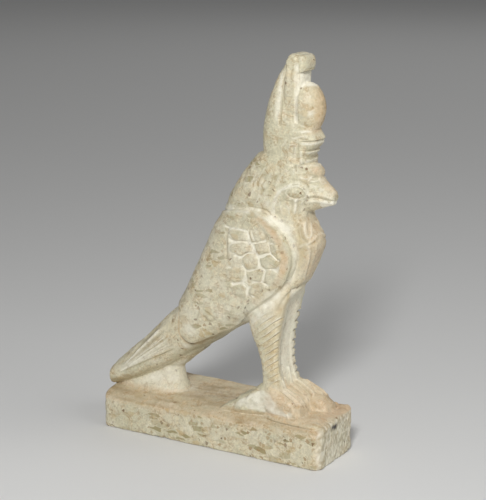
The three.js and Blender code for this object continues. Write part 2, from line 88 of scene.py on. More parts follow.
# Points round a ring, rows put in between two rows of a table, and how boxy the rings of each
# form are: 2 is an ellipse
RING_SIDES = 96
BODY_STEPS = 6
WEB_STEPS = 4
LOW_STEPS = 5
LEG_STEPS = 8
BODY_SQUARENESS = 2.6
BEAK_SQUARENESS = 2.3
LEG_SQUARENESS = 3
LOW_SQUARENESS = 2.6

# Body from the tail's end to the top of the head: back x, back z, front x, front z, half width
# and the thickness of what is carved proud on the back there
BODY = [
    [-35.9, 4.6, -35.8, -1, 6.6, 0],
    [-35.3, 6, -34.7, -0.8, 7.2, 0],
    [-30.1, 10.9, -27.5, 1.8, 7.3, 0],
    [-25.4, 15, -21.9, 4.5, 7.3, 0],
    [-20.8, 19.6, -16.3, 7.6, 7.3, 0],
    [-16.4, 24.4, -11.8, 10.4, 7.5, 0.3],
    [-13.7, 27.2, -8.4, 12.8, 8.2, 0.9],
    [-10.9, 31.8, -2.2, 16.6, 8.7, 0.9],
    [-8.4, 37.1, 5.1, 21.8, 9, 0.9],
    [-6.2, 42, 13.9, 26.5, 9.1, 0.9],
    [-4.1, 46.7, 22.9, 33.1, 9.1, 0.9],
    [-2.1, 51, 27.3, 40.2, 9, 0.9],
    [-0.2, 53.9, 30, 46, 8.5, 0.9],
    [0.6, 55.5, 30.8, 48.6, 8.3, 0.8],
    [1.3, 57, 30.3, 51, 8, 0.6],
    [3, 60.2, 27.6, 55.3, 7.6, 0.5],
    [5, 63.2, 27.2, 59.1, 7.5, 0.5],
    [6.9, 66.4, 28.4, 63.6, 7.2, 0.5],
    [9.2, 69.3, 29, 67.9, 6.5, 0.4],
    [11.4, 71.5, 27.6, 71.2, 5.6, 0],
    [12.9, 73, 27, 73, 5.2, 0],
]
# Beak: x, low z, high z, half width
BEAK = [
    [24.5, 56.6, 70.2, 5],
    [27.6, 57.6, 69.2, 4.3],
    [29.8, 58.5, 67.6, 3.5],
    [31.7, 59, 66.1, 2.8],
    [33.3, 59.5, 64.8, 2.2],
    [34.4, 59.9, 63.8, 1.8],
    [34.7, 60.6, 63, 1.3],
]
# Legs: z, rear x, front x, half width, middle of the leg out from the figure's middle
LEG = [
    [42, 12, 22, 2.4, 2.8],
    [36.6, 9.4, 23.8, 3.3, 3.7],
    [30.4, 9.6, 21.9, 3.4, 4.2],
    [25.8, 11, 21, 2.9, 4.3],
    [21.3, 12.2, 20.2, 2.5, 4.3],
    [16.9, 14.1, 19.9, 2.1, 4.3],
    [12.4, 15.2, 20.2, 2, 4.3],
    [7.9, 15.3, 21.5, 2.1, 4.3],
    [3.4, 14.9, 22.5, 2.5, 4.3],
    [-ROOT, 14.4, 23.6, 2.7, 4.3],
]
# Stone left standing between the legs, with a groove up its front as wide as it is: z, rear x,
# front x and the depth of the groove
WEB = [
    [-ROOT, 17, 22.8, 1],
    [3.4, 16.8, 22.5, 1.3],
    [7.9, 16.6, 21.4, 1.5],
    [12.4, 16.2, 20.3, 1.5],
    [16.9, 15.5, 19.9, 1.5],
    [21.3, 14.2, 20.2, 1.5],
    [25.8, 13.2, 21, 1.4],
    [30.4, 12.5, 21.9, 1.3],
    [36, 13, 23.2, 1],
]
WEB_HALF = 5
WEB_POINTS = 41
# Middle line of that groove, beside the near leg
WEB_GROOVE_MIDDLE = -2.8
# Feet: x, top z, half width
FOOT = [
    [14, 7.4, 2.4],
    [17.5, 8.8, 3],
    [21.5, 7.9, 3.5],
    [25.3, 6.5, 3.6],
    [28.8, 4.7, 3.6],
    [31, 2.8, 3.4],
    [32.2, 1, 3.2],
    [32.6, -0.6, 3],
]
FOOT_CENTRE = 4.3
# The near foot is shorter: how much of that length in front of its heel it keeps
NEAR_FOOT_REACH = 0.78
# The low mound that the feet stand on, and its middle across the plinth
MOUND = [
    [16, -0.6, 6],
    [20, 0.5, 7.8],
    [25, 0.9, 8.4],
    [30, 0.7, 8.4],
    [33, 0.2, 8],
    [34.8, -0.8, 7],
]
MOUND_CENTRE = -0.8
# The feet aren't parted: the stone between them lies this much lower than their tops
FEET_GAP_DEPTH = 0.5
# Toes: how far out from the foot's middle, in half widths, and where the tip is
TOES = [(-0.9, 29.6), (-0.3, 29.4), (0.3, 29), (0.9, 28.2)]
TOE_START = (19, 7.8)
TOE_END = 0.4
TOE_SPREAD = (2.2, 3.5)
TOE_RADIUS = 0.85
TOE_ARCH = 0.9
TOE_DROP = 0.9
TOE_POINTS = 24
TOE_SIDES = 24
# Rough stone left behind each foot: x, top z, half width
HEEL = [
    [17, 6, 2.4],
    [14.5, 6.8, 2.8],
    [11.5, 5.3, 3.2],
    [8.4, 3.4, 3.2],
    [5.6, 1.6, 2.9],
    [2.6, -0.6, 2.4],
]
HEEL_CENTRE = 4.9
# Upright forms: z, rear x, front x, half width
TAIL_SUPPORT = [
    [-ROOT, -36, -11, 6.2],
    [0.8, -35.8, -12.6, 5],
    [3.4, -34, -13.6, 4],
    [6.8, -30, -14.1, 3.8],
    [8.4, -26.4, -12.3, 3.9],
    [10.4, -22.3, -10.2, 4.2],
    [14, -15.4, -5.8, 4.6],
]
CAP = [
    [68, 15, 26.2, 5.2],
    [70.3, 14.2, 26.8, 5.4],
    [72.1, 13.8, 27.7, 5.5],
    [72.2, 13.8, 27, 5.5],
    [74.3, 13.7, 28.8, 5.5],
    [74.4, 13.7, 28.3, 5.5],
    [76.4, 13.6, 29.9, 5.5],
    [76.6, 13.6, 29.7, 5.5],
    [77.4, 13.6, 30.3, 5.5],
    [78.6, 13.7, 29.6, 5.5],
    [80.4, 13.9, 28.2, 5.2],
    [83, 14.8, 24.6, 4.6],
    [85.5, 16.6, 23.4, 3.6],
]
CONE = [
    [72, 13.6, 24, 5.4],
    [78, 13.3, 24, 5.4],
    [82, 13.7, 24, 5.2],
    [86, 14.7, 23, 4.6],
    [90, 16, 22.4, 3.8],
    [93.6, 17.5, 22, 2.7],
    [96.8, 19.3, 21.6, 1.2],
]
PLUMES = [
    [78, 20.1, 24.7, 4.3],
    [96, 20.7, 24.8, 4.2],
    [98.6, 21.2, 24.8, 4],
    [99.6, 21.8, 24.6, 3.4],
    [100, 22.5, 24.2, 2.4],
]
CURL = [
    [84, 22, 25.4, 3.3],
    [94.6, 22, 25.9, 3.4],
    [95, 22, 26.6, 3.7],
    [97, 22, 26.9, 3.7],
    [98.9, 22, 26.7, 3.6],
    [99.7, 22.4, 26, 3.1],
]
# Upright forms in the middle: rows, steps between two rows and squareness
MIDDLE_FORMS = [
    (TAIL_SUPPORT, 6, 2.4), (CAP, 4, 3), (CONE, 6, 2.3), (PLUMES, 4, 5), (CURL, 5, 3.4),
]
# Ovals: middle x, middle z, half sizes along x, y and z
DISC = (25.9, 85.5, (5, 4.6, 7.1))
FOREHEAD = (27.8, 68.3, (2.9, 3.4, 2.5))
OVAL_RINGS = 38
OVAL_SIDES = 64

# Plinth in millimetres: its corner, the wear of its top edges, the bevel round its underside,
# and how far in from the top edge the rings go
PLINTH_CORNER = 2
PLINTH_EDGE_WEAR = 0.8
PLINTH_BEVEL = 0.35
PLINTH_TOP_REACH = 6
PLINTH_RINGS = 12
PLINTH_EDGE_POINTS = 40
PLINTH_CORNER_POINTS = 8
# The top slopes: how far the far edge stands over its middle, and how far the near edge lies
# under it, at the tail's end and in front of the feet
FAR_EDGE_RISE = (1.2, 0.5)
NEAR_EDGE_LOSS = (2.3, 1.5)
# 1 is a straight slope, and a higher value keeps the middle level and bends the edges more
SLOPE_BEND = 1.7


def smooth_rows(rows, steps, closed=False):
    """Rows between the given ones. Each column follows a Catmull-Rom curve through its values:
    the cubic that passes through two neighbours with the slope of the rows on either side."""
    rows = np.array(rows, float)
    if closed:
        padded = np.vstack([rows[-1:], rows, rows[:2]])
        spans = len(rows)
    else:
        padded = np.vstack([2 * rows[:1] - rows[1:2], rows, 2 * rows[-1:] - rows[-2:-1]])
        spans = len(rows) - 1
    at = np.arange(spans * steps + (not closed)) / steps
    cell = np.minimum(at.astype(int), spans - 1)
    t = (at - cell)[:, None]
    a, b, c, d = (padded[cell + k] for k in range(4))
    return b + t / 2 * (c - a + t * (2 * a - 5 * b + 4 * c - d + t * (3 * b - a - 3 * c + d)))


def place(x, y, z):
    """Shares to millimetres."""
    x, y, z = np.broadcast_arrays(x, y, z)
    return np.stack([x * SHARE, y * SHARE, PLINTH_TOP + z * SHARE], axis=-1)


def ring_turns(sides, squareness):
    """Cosine and sine round a turn, raised as the squareness says."""
    turn = np.arange(sides) / sides * 2 * np.pi
    power = 2 / squareness
    cosine, sine = np.cos(turn), np.sin(turn)
    return np.sign(cosine) * np.abs(cosine) ** power, np.sign(sine) * np.abs(sine) ** power


def loft(back, front, half, squareness, sides=RING_SIDES):
    """Grid of points: ring r runs from the point back[r] to front[r] along its middle and is
    half[r] millimetres wide to each side in y."""
    along, aside = ring_turns(sides, squareness)
    middle, reach = (back + front) / 2, (front - back) / 2
    grid = middle[:, None, :] + reach[:, None, :] * along[None, :, None]
    grid[:, :, 1] += np.reshape(half, (-1, 1)) * aside
    return grid


def closed_skin(grid):
    """Points and faces of a grid that closes round each ring, with a fan at both ends."""
    rings, sides = grid.shape[:2]
    points = np.vstack([grid.reshape(-1, 3), grid[0].mean(0), grid[-1].mean(0)])
    i = np.arange(sides)
    after = (i + 1) % sides
    start = (np.arange(rings - 1) * sides)[:, None]
    quads = np.stack([start + i, start + after, start + sides + after, start + sides + i], -1)
    first, last = rings * sides, rings * sides + 1
    top = (rings - 1) * sides
    fans = np.vstack([
        np.stack([np.full(sides, first), after, i], -1),
        np.stack([np.full(sides, last), top + i, top + after], -1),
    ])
    return points, quads.reshape(-1, 4), fans


def body_form():
    """Rings from the back's line to the front's, smaller by what is carved proud there."""
    rows = smooth_rows(BODY, BODY_STEPS)
    back, front = place(rows[:, 0], 0, rows[:, 1]), place(rows[:, 2], 0, rows[:, 3])
    cover = rows[:, 5:6] * SHARE
    outward = (back - front) / np.linalg.norm(back - front, axis=1, keepdims=True)
    half = rows[:, 4] * SHARE - cover[:, 0]
    return loft(back - outward * cover, front, half, BODY_SQUARENESS)


def beak_form():
    """Upright rings along x."""
    x, low, high, half = smooth_rows(BEAK, BODY_STEPS).T
    return loft(place(x, 0, high), place(x, 0, low), half * SHARE, BEAK_SQUARENESS)


def upright_form(rows, steps, squareness, side=0):
    """Level rings between a rear and a front line. A fifth column moves them aside."""
    rows = smooth_rows(rows, steps)
    z, rear, front, half = rows[:, :4].T
    middle = side * rows[:, 4] if side else 0
    return loft(place(rear, middle, z), place(front, middle, z), half * SHARE, squareness)


def web_form():
    """Level rings between the legs. The front of each is a groove whose depth falls evenly from
    its middle line to both sides."""
    z, rear, front, groove = smooth_rows(WEB, WEB_STEPS)[:, :, None].transpose(1, 0, 2)
    aside = np.linspace(-1, 1, WEB_POINTS)
    middle = WEB_GROOVE_MIDDLE / WEB_HALF
    part = np.minimum((1 + aside) / (1 + middle), (1 - aside) / (1 - middle))
    faces = place(front - groove * part, aside * WEB_HALF, z)
    backs = place(rear + 0 * aside, -aside * WEB_HALF, z)
    return np.concatenate([faces, backs], axis=1)


def in_reach(x, reach):
    """A foot's length in front of its heel, shortened to its reach."""
    return FOOT[0][0] + (x - FOOT[0][0]) * reach


def low_form(rows, centre, reach=1):
    """Rings across x that stand on the plinth."""
    x, top, half = smooth_rows(rows, LOW_STEPS).T
    x = in_reach(x, reach)
    return loft(place(x, centre, top), place(x, centre, -ROOT), half * SHARE, LOW_SQUARENESS)


def toe_form(aside, tip, side, reach):
    """A round ridge: its line runs straight from the start to the tip, raised by half a sine
    wave, and it leans aside more and more towards the tip."""
    along = np.linspace(0, 1, TOE_POINTS)
    x = in_reach(TOE_START[0] + (tip - TOE_START[0]) * along, reach)
    spread = TOE_SPREAD[0] + (TOE_SPREAD[1] - TOE_SPREAD[0]) * along
    arch = TOE_ARCH * np.sin(along * np.pi) - abs(aside) * TOE_DROP * (1 - along)
    z = TOE_START[1] + (TOE_END - TOE_START[1]) * along + arch
    y = side * (FOOT_CENTRE + aside * spread)
    radius = np.full(TOE_POINTS, TOE_RADIUS)
    high, low = place(x, y, z + radius), place(x, y, z - radius)
    return loft(high, low, radius * SHARE, 2, TOE_SIDES)


def oval_form(x, z, half):
    """An ellipsoid as rings from its bottom to its top."""
    tilt = np.linspace(-np.pi / 2, np.pi / 2, OVAL_RINGS + 2)[1:-1]
    reach = half[0] * np.cos(tilt)
    level = z + half[2] * np.sin(tilt)
    rear, front = place(x - reach, 0, level), place(x + reach, 0, level)
    return loft(rear, front, half[1] * np.cos(tilt) * SHARE, 2, OVAL_SIDES)


def top_slope(x, y):
    """How much higher the plinth's top is at a place than along its middle, in millimetres:
    the edge's rise or loss there by the share of the way to that edge, to the power of the bend."""
    along = x / (2 * HIGH[0]) + 0.5
    rise, loss = (a + (b - a) * along for a, b in (FAR_EDGE_RISE, NEAR_EDGE_LOSS))
    across = np.abs(y / HIGH[1]) ** SLOPE_BEND
    return np.where(y > 0, rise, -loss) * across


def plinth_form():
    """Rounded rectangles from the underside to the top, drawn in at the top along a quarter of a
    circle and then on to the middle, and raised there by the slope."""
    turn = np.linspace(0, np.pi / 2, PLINTH_RINGS)
    inward = np.linspace(0, PLINTH_TOP_REACH, PLINTH_RINGS + 1)[1:]
    inset = np.concatenate([
        [PLINTH_BEVEL, 0, 0], (1 - np.cos(turn)) * PLINTH_EDGE_WEAR, PLINTH_EDGE_WEAR + inward])
    level = np.concatenate([
        [0, PLINTH_BEVEL, PLINTH_TOP / 2], PLINTH_TOP - PLINTH_EDGE_WEAR * (1 - np.sin(turn)),
        np.full(PLINTH_RINGS, PLINTH_TOP)])
    along = np.linspace(-1, 1, PLINTH_EDGE_POINTS)
    arc = np.linspace(0, np.pi / 2, PLINTH_CORNER_POINTS)
    corner_x, corner_y = PLINTH_CORNER * np.sin(arc), PLINTH_CORNER * np.cos(arc)
    rings = []
    for gap, lift in zip(inset, level):
        flat_x, flat_y = HIGH[:2] - gap - PLINTH_CORNER
        edge = np.full(PLINTH_EDGE_POINTS, flat_y + PLINTH_CORNER)
        half = np.vstack([
            np.stack([flat_x * along, -edge], -1),
            np.stack([flat_x + corner_x, -flat_y - corner_y], -1),
            np.stack([flat_x + corner_x[::-1], flat_y + corner_y[::-1]], -1),
        ])
        plan = np.vstack([half[:-1], -half[:-1]])
        part = np.clip((lift - PLINTH_BEVEL) / (PLINTH_TOP / 2), 0, 1)
        rings.append(np.column_stack([plan, lift + part * top_slope(*plan.T)]))
    return np.array(rings)


def all_forms():
    """Every form of the carving, as grids of points."""
    feet_gap = [(x, top - FEET_GAP_DEPTH, FOOT_CENTRE) for x, top, _ in FOOT]
    forms = [body_form(), beak_form()]
    forms += [upright_form(*form) for form in MIDDLE_FORMS]
    forms += [web_form(), low_form(feet_gap, 0, NEAR_FOOT_REACH), low_form(MOUND, MOUND_CENTRE)]
    forms += [oval_form(*DISC), oval_form(*FOREHEAD), plinth_form()]
    for side, reach in ((-1, NEAR_FOOT_REACH), (1, 1)):
        forms.append(upright_form(LEG, LEG_STEPS, LEG_SQUARENESS, side))
        forms.append(low_form(FOOT, side * FOOT_CENTRE, reach))
        forms.append(low_form(HEEL, side * HEEL_CENTRE))
        forms += [toe_form(aside, tip, side, reach) for aside, tip in TOES]
    return forms


# Skin

# Parts of the way towards the neighbours' mean and away from it in a round of smoothing
RELAX_IN = 0.5
RELAX_OUT = 0.52


def join(skins):
    """One list of points and faces from several."""
    points, faces, count = [], [], 0
    for spots, quads, fans in skins:
        points.append(spots)
        faces += (quads + count).tolist() + (fans + count).tolist()
        count += len(spots)
    return np.vstack(points), faces


def read_rows(items, name, width, kind=np.float32):
    """A value of every item of a mesh, as rows."""
    rows = np.empty(len(items) * width, kind)
    items.foreach_get(name, rows)
    return rows.reshape(-1, width)


def read_points(mesh):
    return read_rows(mesh.vertices, "co", 3).astype(float)


def read_normals(mesh):
    return read_rows(mesh.vertex_normals, "vector", 3).astype(float)


def write_points(mesh, spots):
    mesh.vertices.foreach_set("co", spots.astype(np.float32).ravel())
    mesh.update()


def neighbour_mean(values, edges):
    """Mean of each vertex's neighbours: the sum over its edges' other ends by their count."""
    both = np.vstack([edges, edges[:, ::-1]])
    count = np.bincount(both[:, 0], minlength=len(values))
    total = [np.bincount(both[:, 0], column[both[:, 1]], len(values)) for column in values.T]
    return np.stack(total, -1) / np.maximum(count, 1)[:, None]


def relax(spots, edges, rounds):
    """Smoothing that keeps the size: each round moves every point part of the way towards its
    neighbours' mean and then slightly more away from it."""
    for _ in range(rounds):
        for part in (RELAX_IN, -RELAX_OUT):
            spots = spots + part * (neighbour_mean(spots, edges) - spots)
    return spots


def with_modifier(piece, kind, **values):
    """The piece's mesh after one modifier."""
    modifier = piece.modifiers.new(kind, kind)
    for name, value in values.items():
        setattr(modifier, name, value)
    graph = bpy.context.evaluated_depsgraph_get()
    mesh = bpy.data.meshes.new_from_object(piece.evaluated_get(graph))
    piece.modifiers.clear()
    old, piece.data = piece.data, mesh
    bpy.data.meshes.remove(old)
    return mesh


# Carving

# Spans put between two points of a drawn line and of an outline
LINE_STEPS = 5
OUTLINE_STEPS = 4
# The noise's lattice, and how far its start lies from the figure
NOISE_CELLS = 32
NOISE_SHIFT = 1000.37
NOISE = np.random.default_rng(7).random((NOISE_CELLS,) * 3)


def value_noise(spots, size):
    """Noise from -1 to 1 on a lattice whose step is the size, repeated every 32 steps."""
    at = spots / size + NOISE_SHIFT
    cell = np.floor(at).astype(int)
    t = at - cell
    t = t * t * (3 - 2 * t)
    total = np.zeros(len(spots))
    for corner in np.ndindex(2, 2, 2):
        i, j, k = ((cell + corner) % NOISE_CELLS).T
        weight = np.prod(np.where(np.array(corner) == 1, t, 1 - t), axis=1)
        total += NOISE[i, j, k] * weight
    return total * 2 - 1


def step(low, high, values):
    """0 below low and 1 above high, with the soft edge's curve between them."""
    t = np.clip((values - low) / (high - low), 0, 1)
    return t * t * (3 - 2 * t)


def between(values, start, full, end, none):
    """0 up to the start, 1 from full to end, and 0 again past none."""
    return step(start, full, values) * step(none, end, values)


def bump(distance, width):
    """A rounded ridge's height: 1 on its line, falling away from it."""
    return np.exp(-(distance / width) ** 2)


def line_distance(spots, line, closed=False):
    """Distance from each point to a line of straight spans."""
    best = np.full(len(spots), np.inf)
    starts = line if closed else line[:-1]
    ends = np.roll(line, -1, axis=0) if closed else line[1:]
    for start, end in zip(starts, ends):
        span = end - start
        t = np.clip((spots - start) @ span / max(span @ span, 1e-9), 0, 1)
        best = np.minimum(best, np.hypot(*(spots - start - t[:, None] * span).T))
    return best


def outline_depth(spots, outline):
    """Distance to a closed outline, positive inside it. Inside is where a ray along x crosses
    the outline an odd number of times."""
    gap = line_distance(spots, outline, closed=True)
    odd = np.zeros(len(spots), bool)
    for start, end in zip(outline, np.roll(outline, -1, axis=0)):
        spans = (start[1] > spots[:, 1]) != (end[1] > spots[:, 1])
        rise = end[1] - start[1] if end[1] != start[1] else 1
        crossing = start[0] + (spots[:, 1] - start[1]) / rise * (end[0] - start[0])
        odd ^= spans & (spots[:, 0] < crossing)
    return np.where(odd, gap, -gap)


# Everything below is in shares, seen from the side as x and z, from the front as the distance
# from the middle plane and z, or from above as x and that distance.
WING_OUTLINE = [
    [-12.2, 27.6], [-19, 30.5], [-18, 38.2], [-10.1, 52.4], [-3.6, 53], [4.5, 56.2],
    [11.1, 57.3], [16.4, 56.9], [19.1, 55.1], [21.7, 52.8], [23.4, 50.1], [24.7, 46.7],
    [24.5, 43.3], [23, 39.3], [20.6, 35.7], [17.6, 32.9], [14.3, 30.3], [10.7, 27.4],
    [7.3, 24.3], [1.5, 20.9], [-2.2, 19.1], [-5.4, 17.4], [-7.4, 17], [-9.2, 18],
    [-10.3, 20], [-10.3, 22.8], [-10.6, 25],
]
WING_LIFT = 0.85
# The raised border round the wing's front: its width, its lift and its middle line
RIM_WIDTH = 1.7
RIM_LIFT = 0.45
RIM_LINE = [
    [12, 55.6], [15.2, 55.4], [18, 54.2], [20.2, 52], [22, 49], [23, 45.6],
    [22.7, 42.2], [21.2, 39], [18.7, 36], [15.5, 33.4], [11.8, 30.8], [8, 28.2],
]
# The deep cut outside that border, from the shoulder down to the thigh: width, depth and line
SHOULDER_WIDTH = 1.2
SHOULDER_DEPTH = 0.6
SHOULDER_CUT = [
    [-3, 54.6], [2.5, 56.8], [7.5, 58.2], [12.5, 58.5], [17.2, 58], [20.8, 56.4],
    [23.4, 53.4], [25.2, 49.8], [25.9, 46], [25.6, 42], [23.9, 38.2], [21.2, 34.6],
    [17.8, 31.4],
]
# Middle line of the white haze over the shoulder
SHOULDER_HAZE = [
    [-1, 55.4], [4, 56.3], [8.7, 56.7], [13.9, 56.4], [18.3, 55.9], [21.2, 55], [23.2, 53.7],
]
# Scales, each given one by one: middle x and z, half length and half height, and slope
SCALES = [
    [9.5, 50.4, 2.9, 1.5, 0], [15, 50.6, 2.3, 1.6, -0.1], [10.4, 46.9, 3.4, 1.6, 0.1],
    [16.8, 47.6, 2.5, 1.7, -0.1], [13.3, 43.7, 2.7, 1.8, 0], [18.9, 44.1, 2.6, 1.9, -0.1],
    [8.8, 39.5, 2.5, 1.7, 0.1], [14.7, 40.3, 2.8, 1.8, 0.1], [19.4, 40.1, 2.2, 1.6, 0.3],
    [10, 35.3, 2.4, 1.8, 0.1], [15.6, 35.8, 2.5, 1.8, 0.2], [20.8, 47.2, 1.4, 1.6, -0.3],
]
# How far their middles rise and the walls between them sink
SCALE_LIFT = 0.3
# How far noise of a size in millimetres bends their edges
SCALE_WARP = 0.75
SCALE_WARP_SIZE = 1.9
# Single cuts in the wing. Every table of cuts has points, width, depth, dust and shade, and a depth
# below 0 is a ridge.
# Dust on a ridge is partly a painted highlight, and shade in a groove is mostly painted shade.
WING_CUTS = [
    ([[-1.2, 27.6], [0.8, 26.4], [1.6, 25.4]], 0.24, 0.2, 0, 0.8),
    ([[1.6, 25.4], [0.2, 24.9], [-0.8, 24.6]], 0.24, 0.2, 0, 0.8),
    ([[-1.6, 25.9], [-0.2, 24.6]], 0.24, 0.2, 0, 0.8),
    ([[-3.2, 27.6], [-4, 24.6]], 0.24, 0.2, 0, 0.8),
    ([[4.6, 51.9], [7.6, 51.8], [11.4, 51.9]], 0.32, 0.25, 0.9, 0),
    ([[6.6, 48.6], [9.6, 48.7], [13.2, 48.9]], 0.32, 0.25, 0.8, 0),
    ([[13.6, 51.8], [14.2, 50.2], [15, 48.8]], 0.32, 0.25, 0.6, 0),
    ([[5.7, 51.8], [5.6, 48], [6, 43.2]], 0.36, 0.35, 0, 0.8),
]
# The eye: its outline and middle, the ring in it and the line of the bulge that it lies on
EYE_OUTLINE = [
    [23.2, 63.2], [24.1, 64.2], [25.4, 64.8], [26.6, 64.3], [27.6, 62.9], [26.6, 62.1],
    [25.5, 61.9], [24.2, 62.3],
]
EYE_MIDDLE = [25.6, 63.4]
EYE_RING = 0.55
EYE_BULGE = [[24.2, 63.5], [26.4, 63.2]]
WIG_OUTLINE = [
    [-5.6, 53.7], [4.5, 56.9], [11.1, 58.3], [16.9, 58.1], [18.9, 56.9], [19.4, 59.4],
    [20.2, 61.6], [22, 63.5], [24, 64.8], [23.4, 66.6], [22.8, 68.8], [26, 70.6],
    [32, 71.4], [32, 76], [4, 76],
]
WIG_LIFT = 0.5
# Cuts in the head, seen from the side
HEAD_CUTS = [
    ([[24.2, 65.3], [22.4, 64.5], [20.8, 62.8], [19.9, 60.9], [19.4, 59.2], [19.2, 57.6]],
     0.5, 0.2, 0.75, 0),
    ([[27.1, 59.6], [27.6, 60.9], [28.6, 61.7], [30.2, 62], [32.2, 61.6], [34.2, 61.2]],
     0.42, 0.36, 0, 0.2),
    ([[27.6, 60.4], [28.8, 60.9], [30.4, 61.1], [32.4, 60.8]], 0.4, -0.22, 0.3, 0),
    ([[27.6, 61.9], [28.8, 62.7], [30.4, 62.9], [32.2, 62.5], [34.2, 62]], 0.4, -0.25, 0.1, 0),
    ([[22.4, 64], [24, 65.4], [25.6, 65.9], [27.2, 65.2], [28.2, 63.8], [28.6, 62.4]],
     0.22, -0.18, 0.4, 0),
    ([[22.8, 64.9], [24.2, 66.2], [25.8, 66.6], [27.4, 66], [28.4, 64.8]],
     0.24, 0.2, 0, 0.3),
    ([[23.8, 61.6], [25.2, 61.1], [26.8, 61.3]], 0.24, -0.18, 0.35, 0),
    ([[24.5, 61.2], [24.4, 59.9], [24.3, 57.6]], 0.24, 0.25, 0, 0.55),
    ([[25.1, 61.2], [25.1, 59.6], [25, 57.6]], 0.24, -0.22, 0.55, 0),
    ([[25.8, 61], [25.9, 59.6], [26, 57.7]], 0.26, 0.25, 0, 0.5),
    ([[26.6, 60.6], [26.6, 59.4], [26.7, 58.4]], 0.24, -0.15, 0.3, 0),
    ([[21.5, 60.8], [22.6, 61.1], [23.8, 60.9]], 0.22, 0.18, 0, 0.5),
    ([[22.9, 60.2], [23.5, 59.2], [23.7, 57.8]], 0.22, -0.16, 0.4, 0),
    ([[20.9, 60.6], [21.5, 59], [21.7, 57.4]], 0.26, -0.14, 0.4, 0),
    ([[21.6, 62.6], [22.2, 61.6], [22.8, 61.2]], 0.22, 0.14, 0, 0.4),
    ([[25.1, 70.6], [25, 69.9], [25.3, 69.2]], 0.22, 0.25, 0, 0.8),
    ([[25.3, 70.6], [26.6, 70.3], [27.9, 70.4], [29.2, 70.3]], 0.24, -0.2, 0.45, 0),
    ([[26.2, 69.4], [27.6, 69.2], [29, 69.3]], 0.26, 0.22, 0, 0.45),
    ([[26.6, 67.3], [27.7, 67.1], [28.7, 67.3]], 0.24, -0.26, 0.55, 0),
    ([[27.4, 68.3], [28.6, 68], [29.6, 67.7], [29.1, 67.2], [28.2, 67.7]],
     0.4, 0.3, 0, 0.45),
    ([[28.5, 66.5], [29.4, 66.3], [30.4, 66.8]], 0.24, -0.26, 0.5, 0),
    ([[28.2, 66], [29.4, 65.8], [30.6, 66.2]], 0.22, 0.2, 0, 0.35),
    ([[27.8, 66.2], [28.2, 65], [28.7, 63.4]], 0.24, 0.14, 0, 0.3),
    ([[22.4, 67.4], [23.6, 66.9], [24.8, 66.9]], 0.26, 0.14, 0, 0.3),
]
# Dark and brown dots: x, z, size and shade
HEAD_DOTS = [(29.3, 64.2, 0.28, 0.6), (33.4, 63.6, 0.25, 0.5), (30.9, 64.7, 0.2, 0.4)]
# Warm tints along the top of the beak and the brow: points, width and strength
HEAD_TINTS = [
    ([[29.6, 69.4], [32.2, 66.2], [34.6, 63.8]], 1, 0.55), ([[27.6, 70.6], [29.6, 69.4]], 0.7, 0.3),
]
# Toes on both feet, seen from above as x and y, and the cuts between them
TOE_RIDGES = [
    [[20.8, -5], [23.4, -4.7], [26.6, -4.4]],
    [[21.4, -3.9], [23.4, -3.1], [26.8, -2.2]],
    [[19.7, 1.4], [22.4, 1.2], [26.3, 0.5]],
    [[21.5, 3.1], [23.7, 2.9], [27.2, 2.3]],
    [[22.8, 4.6], [25.4, 4.4], [28.9, 4.2]],
    [[23.2, 6], [26, 6], [29.6, 6]],
]
TOE_GROOVES = [
    [[20.8, -5.6], [23.3, -5.5], [26.4, -5.6]],
    [[21.2, -4.4], [23.4, -3.9], [26.8, -3.3]],
    [[20.4, -1.4], [23, -1], [26.4, -0.8]],
    [[20.6, 2.2], [23, 2.1], [26.8, 1.4]],
    [[22, 3.9], [24.6, 3.7], [28.4, 3.3]],
    [[23, 5.3], [25.8, 5.2], [29.4, 5.1]],
]
# White patch on the near heel, seen from the side
HEEL_PATCH = [
    [7, 1.2], [9.6, 3], [12, 4.4], [15.8, 6.4], [18.6, 6.8], [19.8, 5], [21.4, 3.6],
    [23.5, 2.2], [26.3, 1.8], [25.6, 0.4], [22.1, 0.8], [16.6, 0.7], [11.5, 1],
]
# Cuts in the breast, seen from the front
BREAST_CUTS = [
    ([[3.1, 55], [4.2, 53.4], [4.7, 52], [4.3, 51.2], [3.4, 51.8], [2.4, 53.2], [1.2, 54.6]],
     0.2, -0.15, 0.6, 0),
    ([[2.4, 54.6], [3.2, 53.2], [3.9, 52.2]], 0.26, 0.3, 0, 0.55),
    ([[4, 55.4], [5.1, 53.2], [5.5, 51.4], [5, 50.2]], 0.28, 0.3, 0, 0.4),
    ([[5.8, 48.3], [5.6, 49.1], [4.6, 49.7], [3.5, 50.5], [2, 51.3], [0.6, 51.6]],
     0.26, -0.2, 0.4, 0),
    ([[4.4, 49.2], [3.2, 49.9], [1.6, 50.4]], 0.26, 0.2, 0, 0.3),
    ([[4.8, 49], [4.2, 47.4], [3.8, 46], [3.2, 42.6], [2.6, 40.2], [1.8, 38.1]],
     0.24, -0.2, 0.4, 0),
    ([[4, 48.4], [3.3, 46.2], [2.6, 42.8], [2, 40]], 0.36, 0.16, 0, 0.2),
    ([[2.6, 49], [2.2, 46.5], [1.7, 43.5]], 0.3, -0.12, 0.15, 0.1),
]
# The hollow beside the breast, seen from the side
BREAST_HOLLOW = [
    [26, 56.4], [26.9, 53.6], [27.2, 50.8], [27.2, 47.8], [26.6, 45], [25.8, 42.6],
    [24.6, 40.2],
]
# The groove over the thighs, seen from the front
BREAST_EDGE = [
    [6.6, 30.4], [6.1, 33], [5, 34.7], [2.8, 36], [1, 36.8], [-1, 37.2],
]
# The inner edge of the thighs, seen from the front, and the haze over them, seen from the side
THIGH_INNER = [[6.9, 37.6], [6.6, 34.6], [6.4, 31]]
THIGH_HAZE = [[10, 26], [13.8, 27.8], [17.4, 30.2], [20.4, 33.6]]
